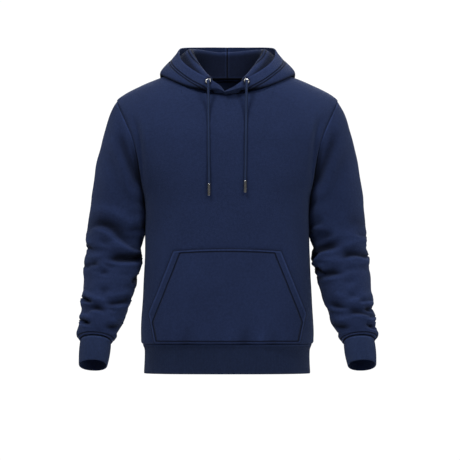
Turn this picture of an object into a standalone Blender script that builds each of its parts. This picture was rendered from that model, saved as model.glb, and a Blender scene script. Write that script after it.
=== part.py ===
"""A pullover hoodie in heavy fleece, as it is worn: front, back, set-in sleeves, rib cuffs and hem band,
a hood let down behind the neck, a kangaroo pocket, and a drawcord through two metal eyelets.

Metres, +Z up, the front faces -Y and the wearer's left is +X. The origin is in the neck opening, level
with the highest points of the shoulders. Every piece is a closed wall between an outer and an inner grid
of points. Pieces that are sewn together share the points of their seam, and each stands back from it."""

import math
from collections import namedtuple

import bmesh
import bpy
from mathutils import Vector

# Cloth
FLEECE = 0.0022
HOOD_CLOTH = 0.0026
RIB = 0.0026
SEAM_GAP = 0.0004

# Body
HEM_SEAM_Z = -0.630
HEM_Z = -0.700
CAP_Z = -0.170
SIDE_POWER = 2.5
NECK_HALF = 0.108
NECK_TOP_Z = -0.0075
NECK_FRONT_Z = -0.060
NECK_BACK_Z = -0.022
NECK_POWER = 3.2
NECK_AXIS_Y = -0.010

Level = namedtuple("Level", "z half_width front back")
LEVELS = (
    Level(-0.700, 0.1915, 0.126, 0.116),
    Level(-0.646, 0.1895, 0.125, 0.115),
    Level(-0.630, 0.1950, 0.129, 0.119),
    Level(-0.590, 0.1955, 0.131, 0.121),
    Level(-0.450, 0.1900, 0.127, 0.115),
    Level(-0.377, 0.1877, 0.127, 0.113),
    Level(-0.300, 0.1900, 0.132, 0.120),
    Level(-0.250, 0.2080, 0.136, 0.126),
    Level(-0.200, 0.2280, 0.137, 0.129),
    Level(-0.150, 0.2460, 0.134, 0.129),
    Level(-0.100, 0.2620, 0.128, 0.126),
    Level(-0.050, 0.2740, 0.124, 0.122),
    Level(0.020, 0.2820, 0.124, 0.122),
)
Place = namedtuple("Place", "x z")
SHOULDER_LINE = (
    Place(0.000, 0.012),
    Place(0.060, 0.008),
    Place(0.108, -0.0075),
    Place(0.159, -0.025),
    Place(0.195, -0.040),
    Place(0.230, -0.057),
    Place(0.253, -0.0736),
    Place(0.290, -0.108),
)
ARMHOLE_LINE = (
    Place(0.1900, -0.3000),
    Place(0.1920, -0.2850),
    Place(0.1970, -0.2520),
    Place(0.2056, -0.1990),
    Place(0.2167, -0.1550),
    Place(0.2340, -0.1155),
    Place(0.2455, -0.0920),
    Place(0.2530, -0.0736),
)
NECK_COLUMNS = 5
SHOULDER_COLUMNS = 5
SIDE_ROWS = 7
ARMHOLE_ROWS = 9
EDGE_SAMPLES = 90
HEM_ROW_SHARES = (0.0, 0.06, 0.22, 0.6, 1.0)

# How the rims of pieces that meet lean in: into the armhole, and into the neck and down
ARMHOLE_RIM_LEAN = 0.12
NECK_RIM_IN = 0.84
NECK_RIM_DOWN = -0.54

# Sleeves: the two points of each ring that show in outline, its middle and its depth
Ring = namedtuple("Ring", "outer_x outer_z inner_x inner_z middle_y half_depth tilt")
SLEEVE_RINGS = (
    Ring(0.2530, -0.0736, 0.1900, -0.3000, 0.000, 0.078, 0),
    Ring(0.2700, -0.1050, 0.1955, -0.3200, 0.002, 0.084, 0),
    Ring(0.2835, -0.1480, 0.1965, -0.3360, 0.004, 0.084, 0),
    Ring(0.2960, -0.1960, 0.1960, -0.3480, 0.006, 0.081, 0),
    Ring(0.3055, -0.2500, 0.1950, -0.3600, 0.008, 0.078, 0),
    Ring(0.3150, -0.3080, 0.1945, -0.3730, 0.009, 0.075, 2),
    Ring(0.3240, -0.3660, 0.1950, -0.3900, 0.008, 0.072, 5),
    Ring(0.3225, -0.4150, 0.1980, -0.4180, 0.004, 0.070, 9),
    Ring(0.3300, -0.4600, 0.2010, -0.4600, -0.006, 0.066, 13),
    Ring(0.3345, -0.5100, 0.2180, -0.5080, -0.020, 0.062, 16),
    Ring(0.3385, -0.5560, 0.2320, -0.5560, -0.036, 0.057, 19),
    Ring(0.3440, -0.5960, 0.2500, -0.5980, -0.051, 0.051, 22),
    Ring(0.3365, -0.6225, 0.2660, -0.6270, -0.062, 0.036, 24),
)
CUFF_END = Ring(0.3406, -0.6785, 0.2746, -0.6810, -0.087, 0.034, 24)
SLEEVE_POWER = 2.2
SLEEVE_STEPS = 24
SLEEVE_LENGTH = 0.42
CUFF_STEPS = 3
ARMHOLE_BLEND = 0.45

# Folds of a sleeve: how far along (0 armhole, 1 cuff), the side they lie on (0 inner edge, 90 front,
# 180 outer edge, 270 back), how far round they reach, how wide and how deep they are, and their slant
Fold = namedtuple("Fold", "along side reach width depth slant")
FOLDS = (
    Fold(0.50, 70, 75, 0.022, 0.0045, 0.05),
    Fold(0.60, 60, 80, 0.018, 0.0070, -0.02),
    Fold(0.66, 150, 50, 0.016, 0.0035, 0.03),
    Fold(0.80, 100, 90, 0.020, 0.0040, -0.03),
    Fold(0.91, 120, 70, 0.016, 0.0040, 0.04),
    Fold(0.58, 260, 80, 0.022, 0.0050, 0.03),
    Fold(0.74, 280, 70, 0.020, 0.0040, -0.03),
    Fold(0.88, 250, 80, 0.018, 0.0040, 0.02),
)

# Hood, in upright planes round the neck: azimuth 0 front, 180 back; each place is out from the neck's
# axis and up. The ridge stands round the neck, the fold lies on the shoulder, the edge is the opening.
Section = namedtuple("Section", "azimuth ridge_out ridge_z fold_out fold_z edge_out edge_z bulge")
HOOD_SECTIONS = (
    Section(0, 0.095, -0.050, 0.106, -0.0555, 0.100, -0.0470, 0.001),
    Section(14, 0.088, -0.036, 0.110, -0.0500, 0.101, -0.0320, 0.002),
    Section(29, 0.080, -0.022, 0.113, -0.0460, 0.101, -0.0190, 0.003),
    Section(49, 0.074, -0.002, 0.121, -0.0400, 0.099, -0.0040, 0.004),
    Section(75, 0.072, 0.020, 0.145, -0.0200, 0.104, 0.0170, 0.005),
    Section(98, 0.080, 0.038, 0.161, -0.0110, 0.112, 0.0370, 0.006),
    Section(110, 0.083, 0.040, 0.170, -0.0190, 0.118, 0.0440, 0.007),
    Section(122, 0.086, 0.041, 0.180, -0.0460, 0.124, 0.0490, 0.008),
    Section(137, 0.086, 0.040, 0.184, -0.1020, 0.130, 0.0515, 0.009),
    Section(152, 0.086, 0.038, 0.182, -0.1560, 0.134, 0.0525, 0.010),
    Section(166, 0.085, 0.036, 0.180, -0.1860, 0.136, 0.0530, 0.012),
    Section(180, 0.085, 0.036, 0.178, -0.1960, 0.137, 0.0530, 0.012),
)
FOLD_STARTS = 13.0
FOLD_FULL = 27.0
BELLY_SHARE = 0.45
HOOD_STEPS = 14

# What pulls the hood's line between its neck seam and its belly: out and up from the ridge, from half way
# down the slope, or from the fold. Near the front there is no ridge, and the cloth turns up at the fold.
Pull = namedtuple("Pull", "mark out up")
HOOD_PULLS = (
    Pull("ridge", 0.002, -0.010),
    Pull("ridge", 0.001, 0.004),
    Pull("ridge", 0.014, 0.003),
    Pull("slope", 0.004, -0.002),
    Pull("fold", -0.017, -0.001),
    Pull("fold", -0.004, -0.006),
    Pull("fold", 0.002, 0.004),
)
FRONT_TURN = Pull("fold", -0.004, 0.001)
FRONT_RISE = Pull("fold", 0.0, 0.004)

# The left half laps over the right one at the centre front
LAP = 0.006
LAP_LIFT = 0.0045
LAP_AZIMUTH = 24.0
LAP_TIP_AZIMUTH = 10.0
LAP_RISE = 2.5
UNDER_LAP = -0.85

# Pocket
POCKET_TOP = Place(0.122, -0.4175)
POCKET_CORNER = Place(0.178, -0.5630)
POCKET_FOOT = Place(0.166, -0.6290)
POCKET_COLUMNS = 16
POCKET_TOP_ROWS = 5
POCKET_FOOT_ROWS = 2
POCKET_EDGE_LIFT = 0.0026
POCKET_FULL_LIFT = 0.0042
POCKET_SIDE_DROP = 0.6

# Drawcord: eyelets in the hood's band, and the route of each cord from the front of its eyelet
EYELET_RADIUS = 0.0068
EYELET_HOLE = 0.0037
EYELET_THICK = 0.0018
EYELET_LIFT = 0.0006
EYELET_STEPS = 28
EYELET_SIDES = 8
CORD_RADIUS = 0.0033
CORD_STEP = 0.0066
AGLET_RADIUS = 0.0034
AGLET_LENGTH = 0.027
AGLET_STEPS = 20
AGLET_ROUND = 0.0008
Trim = namedtuple("Trim", "side top_x end_x eyelet_z end_z")
TRIMS = (
    Trim("left", 0.0440, 0.0409, -0.0310, -0.2576),
    Trim("right", -0.0435, -0.0416, -0.0310, -0.2645),
)
Drop = namedtuple("Drop", "y z")
CORD_DROPS = (
    Drop(-0.1134, -0.0296),
    Drop(-0.1166, -0.0300),
    Drop(-0.1200, -0.0320),
    Drop(-0.1225, -0.0352),
    Drop(-0.1239, -0.0395),
    Drop(-0.1244, -0.0445),
    Drop(-0.1244, -0.0540),
    Drop(-0.1244, -0.0660),
    Drop(-0.1248, -0.0800),
    Drop(-0.1260, -0.0950),
    Drop(-0.1284, -0.1120),
    Drop(-0.1322, -0.1300),
    Drop(-0.1365, -0.1500),
    Drop(-0.1392, -0.1720),
    Drop(-0.1404, -0.1950),
    Drop(-0.1406, -0.2180),
    Drop(-0.1402, -0.2400),
)
CORD_END_Y = -0.1397

NAVY = (0.022, 0.032, 0.085)
CORD_NAVY = (0.030, 0.045, 0.120)
NICKEL = (0.62, 0.61, 0.60)


def through(xs, ys, x):
    """The value at x of a smooth line through the points, with each slope taken from its neighbours."""
    last = len(xs) - 1
    x = min(max(x, xs[0]), xs[last])
    i = max(k for k in range(last) if k == 0 or xs[k] <= x)

    def slope(k):
        low, high = max(k - 1, 0), min(k + 1, last)
        return (ys[high] - ys[low]) / (xs[high] - xs[low])

    step = xs[i + 1] - xs[i]
    t = (x - xs[i]) / step
    return (
        (2 * t**3 - 3 * t**2 + 1) * ys[i]
        + (t**3 - 2 * t**2 + t) * step * slope(i)
        + (3 * t**2 - 2 * t**3) * ys[i + 1]
        + (t**3 - t**2) * step * slope(i + 1)
    )


def column(table, name):
    return [getattr(row, name) for row in table]


def level(name, z):
    return through(column(LEVELS, "z"), column(LEVELS, name), z)


def shoulder_z(x):
    return through(column(SHOULDER_LINE, "x"), column(SHOULDER_LINE, "z"), abs(x))


def smooth(t):
    t = min(max(t, 0.0), 1.0)
    return t * t * (3 - 2 * t)


def mix(a, b, t):
    return a + (b - a) * t


def body_point(turn, rise, front):
    """A point of the body cloth. turn runs from 0 at the centre to +-1 at the side seams; rise from -1 at
    the hem seam through 0, where the cloth starts to round over, to 1 on the shoulder seam."""
    z = CAP_Z + min(rise, 0.0) * (CAP_Z - HEM_SEAM_Z)
    across = math.sin(abs(turn) * math.pi / 2) ** (2 / SIDE_POWER)
    x = level("half_width", z) * across
    over = max(rise, 0.0) * math.pi / 2
    if rise > 0:
        for _ in range(16):
            z = CAP_Z + (shoulder_z(x) - CAP_Z) * math.sin(over)
            x = level("half_width", z) * across
    depth = -level("front", z) if front else level("back", z)
    y = depth * max(math.cos(turn * math.pi / 2), 0.0) ** (2 / SIDE_POWER) * math.cos(over)
    return Vector((math.copysign(x, turn), y, z))


def body_place(x, z):
    """The (turn, rise) of the body cloth that is seen at x and z."""
    share = min(abs(x) / level("half_width", z), 1.0)
    turn = math.asin(share ** (SIDE_POWER / 2)) / (math.pi / 2)
    if z <= CAP_Z:
        return (math.copysign(turn, x), (z - CAP_Z) / (CAP_Z - HEM_SEAM_Z))
    up = min((z - CAP_Z) / (shoulder_z(x) - CAP_Z), 1.0)
    return (math.copysign(turn, x), math.asin(up) / (math.pi / 2))


def even_places(places, count, front):
    """count + 1 (turn, rise) places at equal steps of cloth along a line of them."""
    points = [body_point(turn, rise, front) for turn, rise in places]
    marks = [Vector((turn, rise, 0.0)) for turn, rise in places]
    lengths = [0.0]
    for a, b in zip(points, points[1:]):
        lengths.append(lengths[-1] + (b - a).length)
    found = []
    for step in range(count + 1):
        wanted = lengths[-1] * step / count
        k = max(i for i in range(len(points) - 1) if lengths[i] <= wanted + 1e-12)
        share = (wanted - lengths[k]) / (lengths[k + 1] - lengths[k])
        found.append(marks[k].lerp(marks[k + 1], min(share, 1.0)).to_2d())
    return found


def armhole_places(front):
    """From the armpit up to the shoulder point."""
    zs = column(ARMHOLE_LINE, "z")
    xs = column(ARMHOLE_LINE, "x")
    heights = [mix(zs[0], zs[-1], (k / EDGE_SAMPLES) ** 2) for k in range(EDGE_SAMPLES + 1)]
    return even_places([body_place(through(zs, xs, z), z) for z in heights], ARMHOLE_ROWS, front)


def neck_places(front):
    """From the centre of the neckline to its highest point on the shoulder."""
    low_z = NECK_FRONT_Z if front else NECK_BACK_Z
    found = []
    for k in range(EDGE_SAMPLES + 1):
        angle = k / EDGE_SAMPLES * math.pi / 2
        x = NECK_HALF * math.sin(angle) ** (2 / NECK_POWER)
        z = NECK_TOP_Z - (NECK_TOP_Z - low_z) * math.cos(angle) ** (2 / NECK_POWER)
        found.append(body_place(x, z))
    return even_places(found, NECK_COLUMNS, front)


def half_panel(front):
    """Rows of points from the hem seam up, each from the centre to the side seam or armhole."""
    armhole = armhole_places(front)
    neck = neck_places(front)
    shoulder_turns = (neck[-1][0], armhole[-1][0])
    shoulder = [
        Vector((mix(*shoulder_turns, k / SHOULDER_COLUMNS), 1.0)) for k in range(SHOULDER_COLUMNS + 1)
    ]
    top = neck + shoulder[1:]
    side_top = armhole[0][1]
    side = [Vector((1.0, mix(-1.0, side_top, k / SIDE_ROWS))) for k in range(SIDE_ROWS + 1)]
    edge = side + armhole[1:]
    columns, rows = len(top) - 1, len(edge) - 1
    centre = [Vector((0.0, mix(-1.0, top[0][1], k / rows))) for k in range(rows + 1)]
    grid = []
    for r in range(rows + 1):
        v = r / rows
        line = []
        for c in range(columns + 1):
            u = c / columns
            bottom = Vector((u, -1.0))
            place = (
                bottom.lerp(top[c], v)
                + centre[r].lerp(edge[r], u)
                - Vector((0.0, -1.0)).lerp(Vector((1.0, -1.0)), u).lerp(top[0].lerp(top[-1], u), v)
            )
            line.append(body_point(min(max(place[0], 0.0), 1.0), min(place[1], 1.0), front))
        grid.append(line)
    return grid


def mirrored(point):
    return Vector((-point.x, point.y, point.z))


def on_side(grid, side):
    """A grid that was worked out on the wearer's left, as it is on the left or the right."""
    return grid if side == "left" else [[mirrored(p) for p in row] for row in grid]


def normals(grid, closed):
    """An outward direction for each point, from its neighbours in the grid."""
    rows, columns = len(grid), len(grid[0])
    found = []
    for r in range(rows):
        line = []
        for c in range(columns):
            if closed:
                left, right = grid[r][(c - 1) % columns], grid[r][(c + 1) % columns]
            else:
                left, right = grid[r][max(c - 1, 0)], grid[r][min(c + 1, columns - 1)]
            down, up = grid[max(r - 1, 0)][c], grid[min(r + 1, rows - 1)][c]
            line.append((right - left).cross(up - down).normalized())
        found.append(line)
    return found


def moved(grid, directions, distance):
    return [[p + d * distance for p, d in zip(*rows)] for rows in zip(grid, directions)]


def stood_back(grid, sides, closed=False):
    """The grid with its border points moved half a seam gap into the piece. sides names the borders."""
    rows, columns = len(grid), len(grid[0])
    shifts = [[Vector() for _ in range(columns)] for _ in range(rows)]
    for r in range(rows):
        for c in range(columns):
            inward = []
            if "bottom" in sides and r == 0:
                inward.append(grid[1][c] - grid[0][c])
            if "top" in sides and r == rows - 1:
                inward.append(grid[-2][c] - grid[-1][c])
            if "left" in sides and c == 0 and not closed:
                inward.append(grid[r][1] - grid[r][0])
            if "right" in sides and c == columns - 1 and not closed:
                inward.append(grid[r][-2] - grid[r][-1])
            for direction in inward:
                shifts[r][c] += direction.normalized() * SEAM_GAP / 2
    return shifts


def added(grid, shifts):
    return [[p + s for p, s in zip(*rows)] for rows in zip(grid, shifts)]


def material(name, colour, roughness, metallic):
    made = bpy.data.materials.new(name)
    made.use_nodes = True
    shader = made.node_tree.nodes["Principled BSDF"]
    shader.inputs["Base Color"].default_value = (*colour, 1.0)
    shader.inputs["Roughness"].default_value = roughness
    shader.inputs["Metallic"].default_value = metallic
    return made


def placed(name, mesh, colour, roughness, metallic):
    data = bpy.data.meshes.new(name)
    mesh.to_mesh(data)
    mesh.free()
    data.shade_smooth()
    data.set_sharp_from_angle(angle=math.radians(50))
    made = bpy.data.objects.new(name, data)
    made.data.materials.append(material(name, colour, roughness, metallic))
    bpy.context.scene.collection.objects.link(made)
    return made


def wall(name, outer, inner, closed, colour=NAVY):
    """A closed wall between two grids; closed joins each row's ends into a ring."""
    mesh = bmesh.new()
    rows, columns = len(outer), len(outer[0])
    grids = [[[mesh.verts.new(p) for p in row] for row in grid] for grid in (outer, inner)]
    around = columns if closed else columns - 1
    for r in range(rows - 1):
        for c in range(around):
            d = (c + 1) % columns
            for grid, turned in zip(grids, (False, True)):
                corners = [grid[r][c], grid[r][d], grid[r + 1][d], grid[r + 1][c]]
                mesh.faces.new(corners[::-1] if turned else corners)
    out, back = grids
    for c in range(around):
        d = (c + 1) % columns
        mesh.faces.new((out[0][d], out[0][c], back[0][c], back[0][d]))
        mesh.faces.new((out[-1][c], out[-1][d], back[-1][d], back[-1][c]))
    if not closed:
        for r in range(rows - 1):
            mesh.faces.new((out[r][0], out[r + 1][0], back[r + 1][0], back[r][0]))
            mesh.faces.new((out[r + 1][-1], out[r][-1], back[r][-1], back[r + 1][-1]))
    if mesh.calc_volume(signed=True) < 0:
        bmesh.ops.reverse_faces(mesh, faces=mesh.faces[:])
    return placed(name, mesh, colour, 0.9, 0.0)


def armhole_rim(point):
    """Into the armhole: the shared direction of the rims of body and sleeve."""
    centre = Vector((0.0, 0.0, (SLEEVE_RINGS[0].outer_z + SLEEVE_RINGS[0].inner_z) / 2))
    inward = Vector((0.0, centre.y - point.y, centre.z - point.z)).normalized()
    return Vector((math.copysign(ARMHOLE_RIM_LEAN, -point.x), inward.y, inward.z)).normalized()


def neck_rim(point):
    """Into the neck and down: the shared direction of the rims of body and hood."""
    inward = Vector((-point.x, NECK_AXIS_Y - point.y, 0.0)).normalized()
    return Vector((inward.x * NECK_RIM_IN, inward.y * NECK_RIM_IN, NECK_RIM_DOWN)).normalized()


def hem_rim(normal):
    return -Vector((normal.x, normal.y, 0.0)).normalized()


def shoulder_rim(point):
    """Into the cloth below the shoulder seam, square to the line from the neck to the shoulder point."""
    neck, tip = SHOULDER_LINE[2], SHOULDER_LINE[-2]
    run = Vector((tip.x - neck.x, tip.z - neck.z)).normalized()
    return Vector((math.copysign(run[1], point.x), 0.0, -run[0]))


def panel(name, front):
    """The front or back of the body, as its outer grid from right to left and its wall."""
    half = half_panel(front)
    grid = [[mirrored(p) for p in row[:0:-1]] + row for row in half]
    if not front:
        grid = [row[::-1] for row in grid]
    outward = normals(grid, False)
    rows, columns = len(grid), len(grid[0])
    inward = [[-n for n in row] for row in outward]
    middle = columns // 2
    for r in range(rows):
        for c in (0, columns - 1):
            point = grid[r][c]
            side = Vector((math.copysign(1.0, -point.x), 0.0, 0.0))
            inward[r][c] = armhole_rim(point) if r >= SIDE_ROWS else side
    for c in range(1, columns - 1):
        point = grid[-1][c]
        from_middle = abs(c - middle)
        inward[-1][c] = neck_rim(point) if from_middle <= NECK_COLUMNS else shoulder_rim(point)
    for c in range(columns):
        inward[0][c] = hem_rim(outward[0][c]) if 0 < c < columns - 1 else inward[1][c]
    shifts = stood_back(grid, ("bottom", "top", "left", "right"))
    wall(name, added(grid, shifts), added(moved(grid, inward, FLEECE), shifts), False)
    return grid


def hem_band(front_grid, back_grid):
    """The rib below the body, its top ring on the points of the front's and back's lowest rows."""
    ring = front_grid[0][:-1] + back_grid[0][:-1]
    grid = []
    for share in HEM_ROW_SHARES:
        z = mix(HEM_SEAM_Z, HEM_Z, share)
        line = []
        for point in ring:
            wide = level("half_width", z) / level("half_width", HEM_SEAM_Z)
            name = "front" if point.y < 0 else "back"
            deep = level(name, z) / level(name, HEM_SEAM_Z)
            line.append(Vector((point.x * wide, point.y * deep, z)))
        grid.append(line)
    grid = grid[::-1]
    outward = normals(grid, True)
    inward = [[-n for n in row] for row in outward]
    for c in range(len(ring)):
        for r in (0, -1):
            inward[r][c] = hem_rim(outward[r][c])
    shifts = stood_back(grid, ("top",), True)
    wall("hem_rib", added(grid, shifts), added(moved(grid, inward, RIB), shifts), True)


def ring_points(ring, angles):
    """A ring of a sleeve: angle 0 is its inner edge, 90 degrees its front, 180 its outer edge."""
    outer = Vector((ring.outer_x, ring.middle_y, ring.outer_z))
    inner = Vector((ring.inner_x, ring.middle_y, ring.inner_z))
    middle, reach = (outer + inner) / 2, (outer - inner) / 2
    tilt = math.radians(ring.tilt)
    back = Vector((0.0, math.cos(tilt), -math.sin(tilt))) * ring.half_depth

    def squared(value):
        return math.copysign(abs(value) ** (2 / SLEEVE_POWER), value)

    return [middle - reach * squared(math.cos(a)) - back * squared(math.sin(a)) for a in angles]


def ring_at(share):
    """The ring at a share of the way from the armhole to the cuff."""
    marks = list(range(len(SLEEVE_RINGS)))
    place = share * marks[-1]
    return Ring(*(through(marks, column(SLEEVE_RINGS, name), place) for name in Ring._fields))


def fold_depth(along, angle):
    """How deep the folds sink the sleeve at a share of its length and an angle round it."""
    depth = 0.0
    for fold in FOLDS:
        side = (math.degrees(angle) - fold.side + 180) % 360 - 180
        if abs(side) < fold.reach:
            share = side / fold.reach
            off = (along - fold.along - fold.slant * share) * SLEEVE_LENGTH
            depth += fold.depth * math.cos(share * math.pi / 2) * math.exp(-((off / fold.width) ** 2))
    return depth


def sleeve(side, front_grid, back_grid):
    """A sleeve and its cuff: first the left one, mirrored for the right."""
    front_edge = [row[-1] for row in front_grid[SIDE_ROWS:]]
    back_edge = [row[0] for row in back_grid[SIDE_ROWS:]]
    armhole = front_edge + back_edge[-2:0:-1]
    count = len(armhole)
    even = [2 * math.pi * c / count for c in range(count)]
    start = SLEEVE_RINGS[0]
    low = Vector((start.inner_x, 0.0, start.inner_z))
    run = Vector((start.outer_x, 0.0, start.outer_z)) - low
    angles = []
    for c, point in enumerate(armhole):
        share = min(max((point - low).dot(run) / run.length_squared, 0.0), 1.0)
        angle = math.acos(1 - 2 * share)
        angles.append(angle if c <= count // 2 else 2 * math.pi - angle)
    grid = [armhole]
    for step in range(1, SLEEVE_STEPS + 1):
        share = step / SLEEVE_STEPS
        ease = smooth(share / ARMHOLE_BLEND)
        turned = [mix(a, e, ease) for a, e in zip(angles, even)]
        line = ring_points(ring_at(share), turned)
        middle = sum(line, Vector()) / count
        if step < SLEEVE_STEPS:
            depths = [fold_depth(share, angle) for angle in turned]
            line = [p.lerp(middle, depth / (p - middle).length) for p, depth in zip(line, depths)]
        grid.append(line)
    inward = normals(grid, True)
    inward[0] = [armhole_rim(p) for p in armhole]
    cuff_line = ring_points(CUFF_END, even)
    cuff_middle = sum(grid[-1], Vector()) / count
    inward[-1] = [(cuff_middle - p).normalized() for p in grid[-1]]
    shifts = stood_back(grid, ("bottom", "top"), True)
    shifts[0] = [s + Vector((SEAM_GAP, 0.0, 0.0)) for s in shifts[0]]
    outer, inner = added(grid, shifts), added(moved(grid, inward, FLEECE), shifts)
    wall("sleeve_" + side, on_side(outer, side), on_side(inner, side), True)
    cuff = [[a.lerp(b, k / CUFF_STEPS) for a, b in zip(grid[-1], cuff_line)] for k in range(CUFF_STEPS + 1)]
    middles = [sum(line, Vector()) / count for line in cuff]
    toward = [[(m - p).normalized() for p in line] for line, m in zip(cuff, middles)]
    shifts = stood_back(cuff, ("bottom",), True)
    outer, inner = added(cuff, shifts), added(moved(cuff, toward, RIB), shifts)
    wall("cuff_" + side, on_side(outer, side), on_side(inner, side), True)


def section_at(azimuth):
    marks = column(HOOD_SECTIONS, "azimuth")
    return Section(*(through(marks, column(HOOD_SECTIONS, name), azimuth) for name in Section._fields))


def spline(controls, count):
    """count + 1 points, at even steps, on the cubic spline that these control points pull."""
    ends = [controls[0]] * 2 + controls + [controls[-1]] * 2
    spans = len(ends) - 3
    found = []
    for step in range(count + 1):
        place = min(step / count * spans, spans - 1e-9)
        t = place - int(place)
        a, b, c, d = ends[int(place) : int(place) + 4]
        pulled = a * (1 - t) ** 3 + d * t**3
        pulled += b * (3 * t**3 - 6 * t**2 + 4) + c * (-3 * t**3 + 3 * t**2 + 3 * t + 1)
        found.append(pulled / 6)
    return found


def hood_line(seam, lap):
    """One upright line of the hood from its neck seam to its edge, at the azimuth of the seam point."""
    azimuth = math.degrees(math.atan2(abs(seam.x), NECK_AXIS_Y - seam.y))
    out = Vector((seam.x, seam.y - NECK_AXIS_Y, 0.0))
    start = Vector((out.length, seam.z))
    out.normalize()
    if abs(seam.x) < 1e-6:
        out.x = 0.0
    row = section_at(azimuth)
    ridge = Vector((row.ridge_out, row.ridge_z))
    fold = Vector((row.fold_out, row.fold_z))
    edge = Vector((row.edge_out, row.edge_z))
    normal = Vector((fold.y - edge.y, edge.x - fold.x)).normalized()
    if normal.x < 0:
        normal = -normal
    belly = fold.lerp(edge, BELLY_SHARE) + normal * row.bulge
    marks = {"ridge": ridge, "slope": ridge.lerp(fold, 0.5), "fold": fold}

    def pull(row):
        return marks[row.mark] + Vector((row.out, row.up))

    full = [start] + [pull(row) for row in HOOD_PULLS]
    low = len(HOOD_PULLS) - 1
    plain = [start.lerp(pull(FRONT_TURN), k / low) for k in range(low + 1)] + [pull(FRONT_RISE)]
    share = smooth((azimuth - FOLD_STARTS) / (FOLD_FULL - FOLD_STARTS))
    controls = [a.lerp(b, share) for a, b in zip(plain, full)] + [belly, edge]
    line = spline(controls, HOOD_STEPS)
    front = 1 - smooth(azimuth / LAP_AZIMUTH)
    points = []
    for k, p in enumerate(line):
        rise = smooth(k / HOOD_STEPS * LAP_RISE)
        lift = LAP_LIFT * lap * front * rise
        point = Vector((out.x * (p.x + lift), NECK_AXIS_Y + out.y * (p.x + lift), p.y))
        point.x -= LAP * lap * (1 - smooth(azimuth / LAP_TIP_AZIMUTH)) * rise
        points.append(point)
    return points


def hood_half(side, front_grid, back_grid):
    """Half of the hood, worked out on the wearer's left and mirrored for the right, which lies under."""
    front_top, back_top = front_grid[-1], back_grid[-1]
    middle = len(front_top) // 2
    seam = front_top[middle : middle + NECK_COLUMNS + 1]
    seam += [back_top[middle - k] for k in range(NECK_COLUMNS - 1, -1, -1)]
    lap = 1.0 if side == "left" else UNDER_LAP
    grid = [hood_line(point, lap) for point in seam]
    rows, columns = len(grid), len(grid[0])
    inward = normals(grid, False)
    for r in range(rows):
        inward[r][0] = neck_rim(seam[r])
    for c in range(columns):
        last = inward[-1][c]
        inward[-1][c] = Vector((0.0, last.y, last.z)).normalized()
        first = inward[0][c]
        inward[0][c] = Vector((0.0, first.y, first.z)).normalized()
    inward[0][0], inward[-1][0] = neck_rim(seam[0]), neck_rim(seam[-1])
    shifts = stood_back(grid, ("bottom", "top", "left"))
    for c in range(columns):
        shifts[0][c].x += SEAM_GAP / 2
        shifts[-1][c].x = SEAM_GAP / 2
    outer = on_side(added(grid, shifts), side)
    inner = on_side(added(moved(grid, inward, HOOD_CLOTH), shifts), side)
    wall("hood_" + side, outer, inner, False)
    return outer


def pocket():
    """The patch pocket, made from the front's own shape and stood off it, most where the hands go in."""
    rows = [POCKET_FOOT]
    for end, count in ((POCKET_CORNER, POCKET_FOOT_ROWS), (POCKET_TOP, POCKET_TOP_ROWS)):
        start = rows[-1]
        for k in range(1, count + 1):
            rows.append(Place(mix(start.x, end.x, k / count), mix(start.z, end.z, k / count)))
    grid = []
    for row in rows:
        line = []
        for c in range(POCKET_COLUMNS + 1):
            x = row.x * (2 * c / POCKET_COLUMNS - 1)
            line.append(body_point(*body_place(x, row.z), True))
        grid.append(line)
    outward = normals(grid, False)
    inner = []
    for r, line in enumerate(grid):
        up = (rows[r].z - POCKET_FOOT.z) / (POCKET_TOP.z - POCKET_FOOT.z)
        full = math.sin(math.pi * up)
        points = []
        for c, point in enumerate(line):
            drop = POCKET_SIDE_DROP if r >= POCKET_FOOT_ROWS else 1.0
            across = 1 - drop * (2 * c / POCKET_COLUMNS - 1) ** 2
            lift = mix(POCKET_EDGE_LIFT, POCKET_FULL_LIFT, max(full, 0.0) * across)
            points.append(point + outward[r][c] * lift)
        inner.append(points)
    wall("pocket", moved(inner, outward, FLEECE), inner, False)


def seen_at(grid, x, z):
    """The foremost point of a grid of cloth at x and z, and its outward direction there."""
    best = None
    for r in range(len(grid) - 1):
        for c in range(len(grid[0]) - 1):
            corners = (grid[r][c], grid[r][c + 1], grid[r + 1][c + 1], grid[r + 1][c])
            for a, b, d in (corners[:3], (corners[0], corners[2], corners[3])):
                whole = (b.x - a.x) * (d.z - a.z) - (b.z - a.z) * (d.x - a.x)
                if abs(whole) < 1e-12:
                    continue
                v = ((x - a.x) * (d.z - a.z) - (z - a.z) * (d.x - a.x)) / whole
                w = ((b.x - a.x) * (z - a.z) - (b.z - a.z) * (x - a.x)) / whole
                if min(v, w, 1 - v - w) < 0:
                    continue
                point = a + (b - a) * v + (d - a) * w
                if best is None or point.y < best[0].y:
                    outward = (b - a).cross(d - a).normalized()
                    best = (point, outward if outward.y < 0 else -outward)
    return best


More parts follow.
